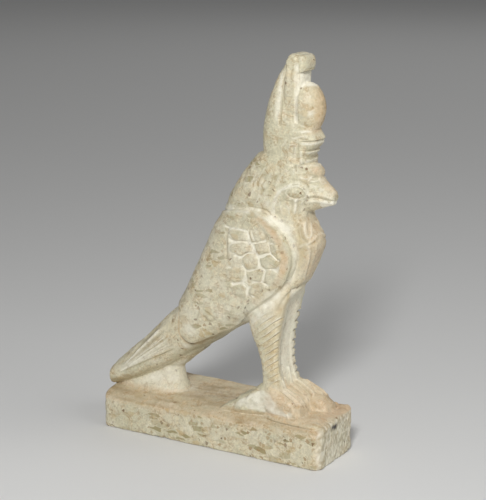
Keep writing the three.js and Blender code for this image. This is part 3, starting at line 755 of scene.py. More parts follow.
# Long feathers of the tail run straight from its tip: the angle in degrees over the level as
# seen from the side, width, depth, dust, which is mostly painted highlight, and painted shade
TAIL_TIP = [-33.8, 2.9]
TAIL_FAN = [
    (27.5, 0.32, 0.4, 0, 0.7), (29, 0.5, -0.2, 0, 0), (30.6, 0.22, 0.26, 0.6, 0.3),
    (32.4, 0.2, 0.28, 0.9, 0), (33.4, 0.18, 0.2, 0, 0.6), (34.4, 0.2, 0.26, 0.7, 0.2),
    (36, 0.2, 0.3, 1, 0), (37.3, 0.24, 0.34, 0, 0.8), (38.6, 0.2, -0.2, 0.8, 0),
    (40, 0.2, 0.24, 0.5, 0.3), (42.4, 0.32, 0.45, 0, 1), (45.2, 0.42, -0.5, 1.1, 0),
    (49.6, 0.7, 0.42, 0, 0.8), (53.5, 0.3, -0.2, 0.3, 0),
]
# From the tip they begin over the first two values and end over the last two
TAIL_REACH = (1.5, 5.5, 20.5, 24.5)
# Slanting strokes round the outer side of each leg: their pitch, rise for each share forward,
# and the heights they begin and end over. The far leg's notches have the second pitch, and only
# its front shows them.
STROKE_PITCH = (1.9, 2.5)
STROKE_RISE = 0.72
STROKE_DEPTH = 0.42
STROKE_RANGE = (8.5, 9.5, 28, 30)
# Grooves in the crown, seen from the side
CROWN_CUTS = [
    ([[21.2, 96.8], [20.4, 93.6], [20.2, 89.5], [20.2, 86.4], [20.3, 81]], 0.26, 0.5, 0, 1),
    ([[25.4, 79.6], [26.8, 80], [28.4, 80.2], [31, 79.6]], 0.35, -0.2, 0.2, 0),
    ([[26.6, 79.5], [27.8, 79.8], [28.8, 79.6]], 0.22, -0.1, 0.9, 0),
    ([[24.3, 78.3], [25.6, 78.7], [26.9, 79.2], [28.2, 79.2]], 0.22, 0.2, 0, 0.5),
    ([[24.3, 77.9], [25.8, 78.2], [27.2, 78.6]], 0.22, -0.15, 0.6, 0),
    ([[26.4, 77.9], [27.4, 77.8], [28.2, 77.8]], 0.24, 0.25, 0, 1),
    ([[25.9, 76.4], [25.7, 74.9], [25.5, 72.1]], 0.24, 0.3, 0, 0.5),
    ([[26.5, 74.4], [26.3, 73.4], [26.1, 71.2]], 0.24, -0.2, 0.6, 0),
    ([[25.1, 76.2], [24.9, 74.6], [24.8, 72.6]], 0.26, -0.16, 0.4, 0),
    ([[27.4, 75], [27.3, 73.4], [27.2, 71.4]], 0.28, 0.25, 0.2, 0.2),
    ([[24.6, 75.4], [24.2, 73.4]], 0.24, 0.15, 0, 0.4),
    ([[22.2, 95.6], [22, 92.6], [22, 88]], 0.5, -0.1, 0.15, 0),
]
# Steps at the front of the cap: the level of each edge, and where it begins behind
CAP_LEDGES = [(77.1, 26.2), (74.5, 27), (72.2, 26.4)]
# Middle of the slab as seen from the side, and the pitch of the faint barbs on it
SLAB_MIDDLE = 24.5
BARB_PITCH = 1.3
# Depth of the chips along the plinth's lower edges, in millimetres
CHIP_DEPTH = 0.9
# Unevenness left by the hand: depth, size in millimetres, and shift
HAND_NOISE = [(0.1, 3.4, 0), (0.07, 1.5, 31), (0.04, 0.7, 57)]
# The tail with its underside, seen from the side
TAIL_UNDER = [
    [-36.5, 6], [-36.6, -0.3], [-34.7, 0], [-27.5, 1.8], [-21.9, 4.5], [-16.3, 7.6],
    [-11.8, 10.4], [-8.4, 12.8], [-8, 30], [-16, 30],
]
# Shades under the chin and along the hollow beside the breast: x, z and size
BREAST_DOTS = [(26.5, 53.2, 0.5), (26.8, 49.3, 0.4), (26.3, 45.6, 0.45)]
# Lines across the tail's back, out from its middle
TAIL_BACK_LINES = (0, 2.4, 4.6)

# How noise is turned and stretched, so that its grain runs along the plinth, down the wig, along
# the scratches on the head and the scores on the plinth's front end
LONG_GRAIN = np.diag([0.16, 1, 1])
THIN_GRAIN = np.diag([0.2, 1, 1])
EDGE_GRAIN = np.diag([0.5, 1, 1])
WIG_GRAIN = np.array([[1, 0, 0], [0, 1, 0], [-0.35, 0, 0.2]])
SCRATCH_GRAIN = np.array([[0.9, 0, 0.25], [0, 0.6, 0], [-0.7, 0, 0.3]])
SCORE_GRAIN = np.array([[1, 0, 0], [0, 0.9, 0.12], [0, -0.4, 0.3]])
EVEN_GRAIN = np.eye(3)

# Marks: the dust mark is white dust and also painted light and painted highlight, the shade mark is
# painted shade and some brown marks, and the tan mark is partly painted shade
MARKS = ("dust", "stain", "shade", "coarse", "soot", "tan")


class Skin:
    """The skin's points in shares with their normals, how far each is raised along its normal
    and dropped along z so far, in shares, and its marks, mostly from 0 to 1."""

    def __init__(self, spots, normals):
        self.spots, self.normals = spots, normals
        self.x = spots[:, 0] / SHARE
        self.y = np.abs(spots[:, 1]) / SHARE
        self.z = (spots[:, 2] - PLINTH_TOP) / SHARE
        self.near = spots[:, 1] < 0
        self.side = np.column_stack([self.x, self.z])
        self.face = np.column_stack([self.y, self.z])
        self.plan = np.column_stack([self.x, spots[:, 1] / SHARE])
        self.out = normals[:, 1] * np.sign(spots[:, 1])
        self.flank = step(0.12, 0.45, self.out)
        self.ahead = step(0.1, 0.5, normals[:, 0])
        self.up = step(0.3, 0.8, normals[:, 2])
        self.wing = self.inside(self.side, WING_OUTLINE)
        self.depth, self.drop = np.zeros((2, len(spots)))
        self.marks = {name: np.zeros(len(spots)) for name in MARKS}

    def noise(self, size, shift=0, grain=EVEN_GRAIN):
        """Noise of a size, moved by a shift so that no two uses of it match."""
        return value_noise(self.spots @ grain + shift, size)

    def zone(self, **limits):
        """A region with soft edges: along each axis it begins over two limits, and also ends
        over two where there are four."""
        part = 1
        for name, limit in limits.items():
            values = getattr(self, name)
            part = part * (between(values, *limit) if len(limit) == 4 else step(*limit, values))
        return part

    def patchy(self, middle, swing, size, shift, low=0, high=1):
        """Noise that swings round a middle value, held between two limits."""
        return np.clip(middle + swing * self.noise(size, shift), low, high)

    def window(self, view, line, reach):
        """Which points of a view lie in the box round a line, widened by the reach."""
        return np.all((view > line.min(0) - reach) & (view < line.max(0) + reach), axis=1)

    def profile(self, view, line, width):
        """A rounded ridge along a smooth line."""
        line = smooth_rows(line, LINE_STEPS)
        near = self.window(view, line, 3 * width)
        height = np.zeros(len(view))
        height[near] = bump(line_distance(view[near], line), width)
        return height

    def stroke(self, line, width):
        """That ridge on both flanks, along a line seen from the side."""
        return self.profile(self.side, line, width) * self.flank

    def dot(self, x, z, size, size_z=None):
        """A rounded spot seen from the side, as an oval where it has two sizes."""
        return bump(np.hypot((self.x - x) / size, (self.z - z) / (size_z or size)), 1)

    def inside(self, view, outline, margin=4):
        """Signed distance to a smooth closed outline, positive inside and at least minus the
        margin outside."""
        outline = smooth_rows(outline, OUTLINE_STEPS, closed=True)
        near = self.window(view, outline, margin)
        depth = np.full(len(view), -float(margin))
        depth[near] = np.maximum(outline_depth(view[near], outline), -margin)
        return depth

    def mark(self, **marks):
        """More of the named marks."""
        for name, values in marks.items():
            self.marks[name] += values

    def cut(self, groove, depth=0, **marks):
        """A groove of a depth, where a depth below 0 is a ridge, with marks along it."""
        self.depth -= depth * groove
        self.mark(**{name: strength * groove for name, strength in marks.items()})

    def cuts(self, view, table, where):
        """One groove for each row of a table: points, width, depth, dust with painted highlight, and
        painted shade.
        """
        for line, width, depth, dust, shade in table:
            self.cut(self.profile(view, line, width) * where, depth, dust=dust, shade=shade)

    def scratch(self, noise, depth, level, shade, dust):
        """Noise as scratches: deep and dark over the level, and pale under minus the level."""
        self.cut(noise, depth)
        self.mark(shade=shade * np.clip(noise - level, 0, 1))
        self.mark(dust=dust * np.clip(-noise - level, 0, 1))


def carve_wing(skin):
    """The wing stands proud, with a raised border round its front and a cut outside that."""
    wing = skin.wing
    skin.depth += WING_LIFT * step(-0.25, 0.25, wing)
    rim = skin.stroke(RIM_LINE, RIM_WIDTH)
    skin.depth += RIM_LIFT * step(0.1, 0.75, rim) * step(12, 16, skin.x + 0.3 * (55 - skin.z))
    # Rust on the border, and shade on both sides of it
    patchy = skin.patchy(0.75, 0.5, 2.4, 77, high=2)
    rust = bump(wing - 1.5, 0.85) * rim * skin.zone(z=(34, 44), x=(13, 18))
    skin.mark(stain=1.3 * rust * patchy, tan=0.6 * rust)
    skin.mark(shade=0.4 * bump(wing - 0.45, 0.3) * rim * step(31, 40, skin.z))
    skin.mark(shade=0.4 * bump(wing - 1.2, 1) * rim * step(43, 37, skin.z) * patchy)
    # White haze over the shoulder and down the cut
    skin.cut(skin.stroke(SHOULDER_CUT, SHOULDER_WIDTH) * step(0.3, -0.5, wing), SHOULDER_DEPTH)
    shoulder = skin.stroke(SHOULDER_HAZE, 1.35) * step(1.4, -0.1, wing)
    skin.mark(dust=1.2 * shoulder * skin.patchy(0.7, 0.75, 1.5, 19, high=1.2))
    band = skin.stroke(SHOULDER_CUT, 0.8) * step(0.45, -0.35, wing)
    skin.mark(dust=0.62 * band * between(skin.z, 33, 39, 53, 56))

    carve_scales(skin, rim)
    skin.cuts(skin.side, WING_CUTS, skin.flank)

    # The brown line round the wing's end, with white patches and a hole beside it
    end = bump(wing + 0.5, 0.45) * skin.zone(x=(2, -4), z=(28, 25))
    skin.cut(end * step(-12, -10, skin.x), 0.2)
    skin.cut(end * skin.flank, stain=1.1, tan=0.8, shade=0.3)
    skin.cut(skin.dot(-6.7, 21.3, 2, 1.5) * skin.flank, 0.15, dust=0.8)
    skin.cut(skin.dot(-7.2, 16.6, 0.45) * skin.flank, 0.6, shade=1.6)
    skin.cut(skin.dot(-9.3, 15.4, 1.1, 0.8) * skin.flank, dust=0.9)


def carve_scales(skin, rim):
    """Pebbles raised inside the scales, and mortar in the walls and rings between them."""
    near = (skin.x > 2) & (skin.x < 26) & (skin.z > 31) & (skin.z < 54)
    spots, grain = skin.side[near], skin.spots[near]
    warp = [value_noise(grain + shift, SCALE_WARP_SIZE) for shift in (3, 43)]
    spots = spots + SCALE_WARP * np.column_stack(warp)
    first, second = np.full((2, len(spots)), 9.0)
    for x, z, half_x, half_z, slope in SCALES:
        gap = spots - [x, z]
        reach = np.hypot(gap[:, 0] / half_x, (gap[:, 1] - slope * gap[:, 0]) / half_z)
        first, second = np.minimum(first, reach), np.minimum(second, np.maximum(first, reach))
    field = skin.flank[near] * step(0.8, 0.5, rim[near])
    rough = value_noise(grain + 61, 1.3)
    walls = step(0.46, 0.18, second - first - 0.18 * rough) * step(1.6, 1.35, first)
    rings = between(first, 0.98, 1.06, 1.16, 1.34) * (0.35 + 0.5 * rough)
    rings = rings * (1 + 0.5 * step(10, 16, spots[:, 0]))
    mortar = np.clip(np.maximum(walls, rings), 0, 1) * field
    pebble = step(0.15, 0.75, second - first) * step(1.4, 0.7, first) * field
    skin.depth[near] += SCALE_LIFT * (pebble - mortar)
    skin.marks["dust"][near] += mortar * np.clip(0.9 + 0.8 * rough, 0.15, 1.25)
    skin.marks["shade"][near] += 0.14 * pebble + 0.3 * bump(second - first - 0.5, 0.1) * field


def carve_head(skin):
    """The wig and the eye stand proud, and the eye has a groove, a lid and a ring in it."""
    hood = skin.inside(skin.side, WIG_OUTLINE)
    skin.depth += WIG_LIFT * step(-0.3, 0.3, hood) * step(73, 72, skin.z)
    eye = skin.inside(skin.side, EYE_OUTLINE)
    skin.cut(skin.stroke(EYE_BULGE, 1.8), -0.5)
    skin.cut(step(0.05, 0.9, eye) * skin.flank, -0.25)
    skin.mark(shade=0.1 * step(-0.1, 0.3, eye) * step(26.2, 24.6, skin.x) * skin.flank)
    skin.cut(bump(eye, 0.15) * skin.flank, 0.22, shade=0.45)
    skin.cut(bump(eye + 0.34, 0.17) * skin.flank, -0.16, dust=0.45)
    ring = np.hypot(*(skin.side - EYE_MIDDLE).T)
    skin.cut(bump(ring - EYE_RING, 0.16) * skin.flank, 0.14, shade=0.4)
    skin.cuts(skin.side, HEAD_CUTS, step(-0.15, 0.2, skin.out))
    for x, z, size, shade in HEAD_DOTS:
        skin.cut(skin.dot(x, z, size) * skin.flank, 0.12, shade=shade)
    # A warm tint along the top of the beak and the brow, and the white chip under its tip
    for line, width, strength in HEAD_TINTS:
        skin.mark(stain=strength * skin.profile(skin.side, line, width))
    chip = step(0.15, -0.15, skin.z - 61.1 - 0.05 * (skin.x - 33) + 0.5 * skin.noise(0.8, 13))
    skin.cut(chip * skin.zone(x=(31.1, 31.7), z=(57, 58)), 0.2, dust=1.9)
    # Strands of the wig, and finer scratches over the whole head
    strands = skin.noise(0.5, grain=WIG_GRAIN) * step(-0.4, 0.4, hood)
    strands *= between(skin.x, 9.75, 10.25, 22.25, 22.75)
    strands *= between(skin.z, 58.25, 58.75, 67.75, 68.25)
    skin.scratch(strands, 0.09, 0.1, 0.6, 0.6)
    fine = skin.noise(0.5, grain=SCRATCH_GRAIN) * between(skin.z, 55, 58, 70, 73)
    skin.scratch(fine, 0.07, 0.2, 0.4, 0.6)


def carve_breast(skin):
    """Cuts down the front, a hollow on each side of them and the groove over the thighs, with painted
    shade in the hollows and the groove.
    """
    skin.cuts(skin.face, BREAST_CUTS, skin.ahead * step(23, 26, skin.x))
    # The hollow beside the breast gets painted shade in tan
    hollow = skin.profile(skin.side, BREAST_HOLLOW, 1.3) * step(-0.8, -1.8, skin.wing)
    skin.cut(hollow * step(3.8, 5.4, skin.y), 0.8, shade=0.1, tan=0.9)
    for x, z, size in BREAST_DOTS:
        skin.mark(shade=0.5 * skin.dot(x, z, size) * (skin.y > 4))
    front = skin.ahead * (skin.x > 18)
    # Painted shade in tan along the groove over the thighs and their inner edge
    skin.cut(skin.profile(skin.face, BREAST_EDGE, 0.6) * front, 0.5, shade=0.35, tan=0.5)
    skin.mark(tan=0.8 * skin.profile(skin.face, THIGH_INNER, 1) * front)
    front = step(0.3, 0.8, skin.normals[:, 0]) * between(skin.z, 34, 38, 55, 58)
    skin.mark(stain=0.5 * front * step(25, 28, skin.x))


def carve_tail(skin):
    """Long feathers that run straight from the tail's tip, and the stone under the tail."""
    gap = skin.side - np.array(TAIL_TIP)
    behind = step(-9.8, -10.6, skin.x) * skin.flank
    # Ridges of the fan get painted highlight as dust, and grooves get painted shade
    for angle, width, depth, dust, shade in TAIL_FAN:
        turn = np.radians(angle)
        along = gap @ [np.cos(turn), np.sin(turn)]
        across = gap @ [-np.sin(turn), np.cos(turn)]
        feather = bump(across, width) * between(along, *TAIL_REACH) * behind
        skin.cut(feather, depth, dust=dust, shade=shade)
    # Painted shade in brown along the underside's edge, and painted shade where the belly faces down
    under = skin.inside(skin.side, TAIL_UNDER)
    band = bump(under - 0.8, 0.9) * step(-7, -11, skin.x) * (skin.y > 5.2)
    skin.cut(band, shade=0.5, tan=0.6)
    down = step(-0.2, -0.7, skin.normals[:, 2])
    skin.mark(shade=0.5 * skin.zone(z=(11, 14), x=(5, 0)) * down)
    back = step(0.2, 0.7, skin.normals[:, 2]) * skin.zone(x=(-13, -17), z=(3, 6))
    for middle in TAIL_BACK_LINES:
        skin.cut(bump(skin.y - middle, 0.35) * back, 0.35, shade=0.3)
    # White haze on the stone under the tail and on the plinth's top beside it
    support = skin.zone(x=(-11, -12), z=(14, 13)) * step(0.3, -0.5, under)
    support *= step(-0.6, 0.3, skin.z + 0.5 * skin.noise(2, 5)) * step(6.9, 6.2, skin.y)
    uneven = skin.patchy(0.85, 0.4, 2, 59, 0.3, 1.1)
    uneven *= 0.35 + 0.65 * step(0, 3.5, skin.z - 1.5 * step(-20, -13, skin.x))
    skin.mark(dust=0.85 * support * uneven)
    ground = skin.up * step(0.6, 0, np.abs(skin.z)) * step(-9, -13, skin.x)
    ground *= step(8.5, 4, skin.y + 0.12 * (skin.x + 33))
    skin.mark(dust=skin.patchy(0.3, 0.6, 1.4, 87) * ground)


def carve_legs(skin):
    """Slanting strokes. The sides have grooves with painted shade in tan and a white lip over each
    that is partly a painted highlight, and the far leg's front has notches with painted shade."""
    on_leg = (skin.x > 8.5) & (skin.x < 24.5) & (skin.y > 0.8)
    on_leg = on_leg * between(skin.z, *STROKE_RANGE)
    height = skin.z - STROKE_RISE * (skin.x - 16) + 0.55 * skin.noise(4, 23)
    broken = skin.patchy(0.8, 0.55, 2.2, 91, 0.25, 1.2)
    near, far = (height / pitch % 1 - 0.5 for pitch in STROKE_PITCH)
    outer = step(-0.1, 0.35, skin.out) * on_leg * np.where(skin.near, broken, 0.8)
    outer *= 0.35 + 0.65 * step(15, 18, skin.x + 0.15 * (skin.z - 20))
    # Painted shade in tan in each groove, and a painted highlight on the lip over it
    skin.cut(bump(near, 0.15) * outer, STROKE_DEPTH, shade=0.12)
    skin.cut(bump(near, 0.2) * outer, tan=0.8)
    skin.cut(bump(near - 0.27, 0.08) * outer, -0.26, dust=0.85)
    front = step(0.3, 0.7, skin.normals[:, 0]) * on_leg * step(3.2, 4.6, skin.y) * ~skin.near
    skin.cut(bump(far, 0.1) * front, 0.4 + 0.5 * broken, shade=0.9)
    # Painted light on the stone between the legs, painted shade in tan beside the near one, and haze
    # on thigh and flank
    inner = step(-0.1, 0.3, skin.normals[:, 0]) * step(12, 15, skin.x)
    inner *= between(skin.z, 5, 12, 34, 37)
    skin.mark(dust=0.75 * inner * step(4.8, 3.6, skin.y))
    skin.mark(tan=0.6 * inner * skin.near * step(2.6, 4.4, skin.y))
    pale = skin.zone(z=(20, 26, 50, 58), x=(30, 22)) * skin.flank
    skin.mark(dust=0.3 * pale * skin.patchy(0.5, 1, 2.1, 29))
    thigh = skin.stroke(THIGH_HAZE, 2.2) * (skin.z < 40)
    skin.mark(dust=0.85 * thigh * skin.patchy(0.75, 0.6, 1.6, 37, 0.1, 1.1))


def carve_feet(skin):
    """Toes as ridges and grooves seen from above, and a ragged white patch on the near heel."""
    skin.mark(stain=0.7 * skin.zone(x=(16, 19), z=(-0.6, 0.2, 5, 10)))
    on_foot = step(-0.2, 0.6, skin.z) * (skin.z < 12)
    for line in TOE_RIDGES:
        skin.cut(skin.profile(skin.plan, line, 0.42) * on_foot, -0.42, dust=0.3)
    for line in TOE_GROOVES:
        skin.cut(skin.profile(skin.plan, line, 0.36) * on_foot, 0.4, shade=0.35)
    mound = skin.zone(z=(-0.2, 0.4, 3.5, 5.5), x=(4, 6))
    skin.depth += 0.3 * skin.noise(1.2, 11) * mound
    ragged = skin.noise(2.4, 67) + 0.6 * skin.noise(0.9, 5)
    patch = step(-0.25, 0.4, skin.inside(skin.side, HEEL_PATCH, 3) + 0.5 * ragged)
    patch *= step(4.6, 5.8, skin.y) * skin.near
    mottle = skin.noise(0.9, 53)
    skin.mark(dust=patch * np.clip(0.85 + 0.6 * ragged - 0.7 * mottle, 0, 1.1))
    skin.mark(shade=0.9 * patch * np.clip(mottle - 0.05, 0, 1))
    skin.depth += 0.12 * patch * ragged


def carve_crown(skin):
    """Grooves and steps, the pale strips, the notch over the disc, and the slab's barbs."""
    skin.cuts(skin.side, CROWN_CUTS, skin.flank)
    for level, back in CAP_LEDGES:
        front = step(back, back + 1.2, skin.x)
        # A painted shade line on each edge and a painted highlight on the step under it
        skin.cut(bump(skin.z - level, 0.22) * front, 0.4, shade=0.9)
        skin.cut(bump(skin.z - level + 0.55, 0.32) * front, dust=1)
    # A strip on the cone, wider lower down, and one along the slab
    strip = between(skin.z, 80.5, 84.5, 93.5, 97) * skin.flank
    aside = skin.x - 19.5 + 0.05 * np.abs(skin.z - 89)
    skin.cut(bump(aside, 0.4 + 0.03 * np.clip(95 - skin.z, 0, 9)) * strip, 0.1, dust=0.85)
    broken = skin.patchy(0.75, 0.6, 1.2, 49, 0.1, 1.1)
    slab = between(skin.z, 80, 83, 96.8, 98.2) * skin.flank
    aside = np.abs(skin.x - SLAB_MIDDLE)
    skin.cut(step(0.75, 0.45, aside) * slab, 0.2)
    skin.mark(dust=0.75 * step(0.75, 0.4, aside) * slab * broken)
    skin.mark(shade=0.35 * bump(skin.x - SLAB_MIDDLE + 0.8, 0.16) * slab)
    # The notch between the disc and the curl
    notch = step(91.4, 92.4, skin.z + 0.5 * broken) * step(95.1, 94.8, skin.z)
    skin.cut(notch * step(25, 25.4, skin.x), 0.1, dust=1.2)
    skin.cut(bump(skin.z - 95, 0.2) * step(25.2, 25.8, skin.x), 0.35, shade=0.5)
    skin.cut(skin.dot(27.2, 94.9, 1), 0.9)
    # The disc is warm, with brown spots, a painted highlight as a white fleck, and dust under the
    # notch
    disc = skin.zone(x=(25.5, 29), z=(78.5, 80, 92.2, 93.2))
    edge = step(0.55, 0.95, skin.normals[:, 0])
    skin.mark(stain=0.15 * disc + 0.75 * disc * edge, tan=0.45 * disc)
    skin.mark(shade=0.8 * step(0.2, 0.5, skin.noise(0.5, 29)) * disc * (0.4 + 0.6 * edge))
    skin.mark(dust=2 * skin.dot(28.6, 84.5, 0.5) * skin.flank)
    skin.mark(dust=0.9 * bump(skin.z - 92.4, 0.35) * disc * broken * step(28.4, 27.4, skin.x))
    # Brown on the very top, and faint barbs in a wandering column
    brown = step(0.3, 0.6, skin.noise(0.8, 17)) * step(98, 99.2, skin.z)
    skin.cut(brown, shade=0.9, stain=0.5)
    barbs = np.maximum(0, np.sin(skin.z * 2 * np.pi / BARB_PITCH)) ** 3
    wander = skin.noise(1, 83)
    barbs *= bump(skin.x - 22.1 - 0.5 * wander, 0.8) * skin.flank * step(-0.5, 0.3, wander)
    skin.cut(barbs * between(skin.z, 83, 85, 90.5, 92), 0.16, shade=0.7)


def carve_plinth(skin):
    """The near top edge is worn down most at the tail's end, the lower edges are chipped, and
    the front end is rough. Lengths are in millimetres here, apart from the skin's own x and z."""
    x, y, z = skin.spots.T
    worn = bump(HIGH[1] + y, 1.5) * step(PLINTH_TOP - 6.5, PLINTH_TOP - 2.5, z)
    skin.drop += 0.5 * worn * (skin.z < 1.5) / SHARE
    # Long streaks on the top, and a tint that runs down from its edge
    on_top = skin.up * step(0.8, 0.2, skin.z - top_slope(x, y) / SHARE)
    streak = skin.noise(0.8, 71, LONG_GRAIN)
    thin = skin.noise(0.4, 7, THIN_GRAIN)
    skin.mark(stain=(0.5 + 0.3 * streak) * on_top)
    skin.mark(shade=0.12 * on_top + 0.7 * np.clip(thin - 0.3, 0, 1) * on_top)
    skin.mark(shade=0.9 * np.clip(streak - 0.1, 0, 1) * on_top * step(26, 20, skin.x))
    behind = 0.5 - x / (2 * HIGH[0])
    ragged = skin.z + 2.4 * behind * skin.near + 1.3 * skin.noise(2, 3, EDGE_GRAIN)
    edge = step(-3.2, -0.2, ragged) * (skin.z < 0.5) * step(0.9, 0.4, skin.up)
    skin.cut(edge, stain=0.45, tan=0.25)
    # Chips along the lower edges and the corners
    sides = skin.z < -0.3
    chips = np.maximum(0, skin.noise(2.2) + 0.4 * skin.noise(0.9) - 0.25) * sides
    corner_gap = np.maximum(HIGH[0] - np.abs(x), HIGH[1] - np.abs(y))
    edges = bump(z - LOW[2], 1) + 0.6 * bump(corner_gap, 1.6)
    skin.cut(chips * edges, CHIP_DEPTH / SHARE)
    # Scores, dust and one sooty spot on the front end
    end = step(1.4, 0.4, HIGH[0] - x) * sides
    scores = skin.noise(0.5, grain=SCORE_GRAIN) + skin.noise(0.6, 8)
    skin.cut(end * (0.4 + scores), 0.1)
    skin.mark(dust=end * np.clip(0.35 + 0.6 * scores, 0, 1))
    skin.mark(shade=end * np.clip(0.25 - 0.5 * scores, 0, 0.6))
    skin.mark(stain=0.5 * bump(corner_gap, 1.5) * sides * (x > 0))
    dark = bump(np.hypot((y + 1.4) / 1.6, (skin.z + 2.2) / 0.7), 1) * end
    skin.mark(soot=1.5 * dark * (0.6 + skin.noise(0.6, 2)))
    sides = sides * step(0.5, 0.9, np.abs(skin.normals[:, 1]))
    skin.mark(coarse=sides * step(-36, -14, skin.x + 6 * skin.noise(5)))


def carve_grain(skin):
    """Unevenness left by the hand: three sizes of noise. Coarse flecks show on the wig's back and
    the lower wing."""
    for depth, size, shift in HAND_NOISE:
        skin.depth += depth * skin.noise(size, shift)
    back = step(0.2, -0.3, skin.normals[:, 0]) * between(skin.z, 55, 60, 70, 72)
    on_wing = skin.wing > 0
    skin.mark(coarse=0.9 * back + on_wing * (0.35 + 0.5 * step(9, 2, skin.x)))


CARVERS = (
    carve_wing, carve_head, carve_breast, carve_tail, carve_legs, carve_feet, carve_crown,
    carve_plinth, carve_grain)


def carve(spots, normals):
    """The moved points, in millimetres, and their marks."""
    skin = Skin(spots, normals)
    for carver in CARVERS:
        carver(skin)
    moved = spots + normals * skin.depth[:, None] * SHARE
    moved[:, 2] -= skin.drop * SHARE
    return moved, {name: np.clip(values, 0, 1) for name, values in skin.marks.items()}


def hollow_marks(spots, normals, edges):
    """How deep each point lies under its surroundings, in millimetres: the distance along the
    normal to the mean of its neighbours, after rounds of averaging."""
    mean = spots
    for _ in range(HOLLOW_ROUNDS):
        mean = neighbour_mean(mean, edges)
    return ((mean - spots) * normals).sum(1)


def linked(name, data):
    """A new object in the scene."""
    piece = bpy.data.objects.new(name, data)
    bpy.context.collection.objects.link(piece)
    return piece


def falcon():
    """The forms joined by a voxel skin, smoothed, carved, marked and thinned."""
    points, faces = join([closed_skin(grid) for grid in all_forms()])
    mesh = bpy.data.meshes.new("falcon_carving")
    mesh.from_pydata(points.tolist(), [], faces)
    piece = linked("falcon_carving", mesh)
    mesh = with_modifier(piece, "REMESH", mode="VOXEL", voxel_size=GRAIN, adaptivity=0.0)
    edges = read_rows(mesh.edges, "vertices", 2, np.int32)
    spots = relax(read_points(mesh), edges, SMOOTH_ROUNDS)
    write_points(mesh, spots)
    spots, marks = carve(spots, read_normals(mesh))
    spots = relax(spots, edges, 1)
    write_points(mesh, spots)
    marks["hollow"] = hollow_marks(spots, read_normals(mesh), edges)
    for name, values in marks.items():
        layer = mesh.attributes.new(name, "FLOAT", "POINT")
        layer.data.foreach_set("value", values.astype(np.float32))
    ratio = MOST_TRIANGLES / (2 * len(mesh.polygons))
    mesh = with_modifier(piece, "DECIMATE", ratio=min(1.0, ratio))
    write_points(mesh, np.clip(read_points(mesh), LOW, HIGH) * METRE)
    mesh.polygons.foreach_set("use_smooth", np.ones(len(mesh.polygons), bool))
    return piece


# Stone

# Between these lie most values of a noise texture
NOISE_RANGE = (0.3, 0.7)


class Nodes:
    """A short way to write a material's nodes."""

    def __init__(self, material):
        material.use_nodes = True
        self.tree = material.node_tree
        self.shader = self.tree.nodes["Principled BSDF"]

    def new(self, kind, inputs=(), **values):
        node = self.tree.nodes.new("ShaderNode" + kind)
        for name, value in values.items():
            setattr(node, name, value)
        for name, value in dict(inputs).items():
            self.put(node.inputs[name], value)
        return node

    def put(self, socket, value):
        if isinstance(value, bpy.types.NodeSocket):
            self.tree.links.new(value, socket)
        else:
            socket.default_value = value

    def maths(self, operation, *values, clamp=False):
        inputs = dict(enumerate(values))
        return self.new("Math", inputs, operation=operation, use_clamp=clamp).outputs[0]

    def times(self, *parts):
        """The product of sockets and numbers."""
        product = parts[0]
        for part in parts[1:]:
            product = self.maths("MULTIPLY", product, part)
        return product

    def ramp(self, value, low, high):
        """0 at low and 1 at high, smooth between them."""
        inputs = {"Value": value, "From Min": min(low, high), "From Max": max(low, high)}
        if low > high:
            inputs.update({"To Min": 1.0, "To Max": 0.0})
        return self.new("MapRange", inputs, interpolation_type="SMOOTHSTEP").outputs["Result"]

    def span(self, value, low, high):
        """A noise's usual range spread straight from low to high."""
        inputs = {"Value": value, "To Min": low, "To Max": high}
        inputs["From Min"], inputs["From Max"] = NOISE_RANGE
        return self.new("MapRange", inputs).outputs["Result"]

    def mix(self, part, a, b, blend="MIX"):
        node = self.new("Mix", data_type="RGBA", blend_type=blend, clamp_factor=True)
        for name, value in (("Factor", part), ("A", a), ("B", b)):
            self.put(node.inputs[name], value)
        return node.outputs["Result"]

    def noise(self, where, size, detail=2.0, rough=0.5, warp=0.0):
        """Noise from 0 to 1 whose features are about the size, in millimetres."""
        inputs = {
            "Vector": where, "Scale": 1 / (size * METRE), "Detail": detail,
            "Roughness": rough, "Distortion": warp}
        return self.new("TexNoise", inputs).outputs["Fac"]

    def mark(self, name):
        return self.new("Attribute", attribute_name=name, attribute_type="GEOMETRY").outputs["Fac"]

    def turned(self, where, turn, stretch, shift):
        return self.new("Mapping", {
            "Vector": where, "Location": (shift, shift * 0.7, shift * 1.3), "Rotation": turn,
            "Scale": stretch}).outputs[0]


def linear(red, green, blue):
    """A colour given by its eye values from 0 to 255, as light: the value's share raised to 2.2."""
    return (*[(value / 255) ** 2.2 for value in (red, green, blue)], 1.0)


CREAM = linear(216, 208, 180)
CREAM_GREY = linear(207, 201, 172)
CREAM_WARM = linear(218, 200, 163)
DUST_AND_PAINTED_LIGHT = linear(234, 230, 213)
STAIN = linear(206, 160, 118)
SHADE = linear(126, 112, 76)
OLIVE = linear(160, 150, 112)
BROWN = linear(158, 130, 90)
TAN = linear(196, 176, 134)
SPECK = linear(112, 86, 56)
SOOT = linear(70, 66, 62)

# Noise of the stone: size in millimetres, detail, roughness and distortion
BROAD_NOISE = (9, 3, 0.55, 0.6)
PATCH_NOISE = (3.2, 4, 0.6, 0.8)
PALE_NOISE = (1.7, 3, 0.6, 1.0)
GRAIN_NOISE = (1.1, 3, 0.65, 0.4)
FINE_NOISE = (0.45, 2, 0.6)
# How far the flecks' cells are bent, in metres, by noise of a size in millimetres
FLECK_BEND = 0.0004
FLECK_BEND_SIZE = 1.1
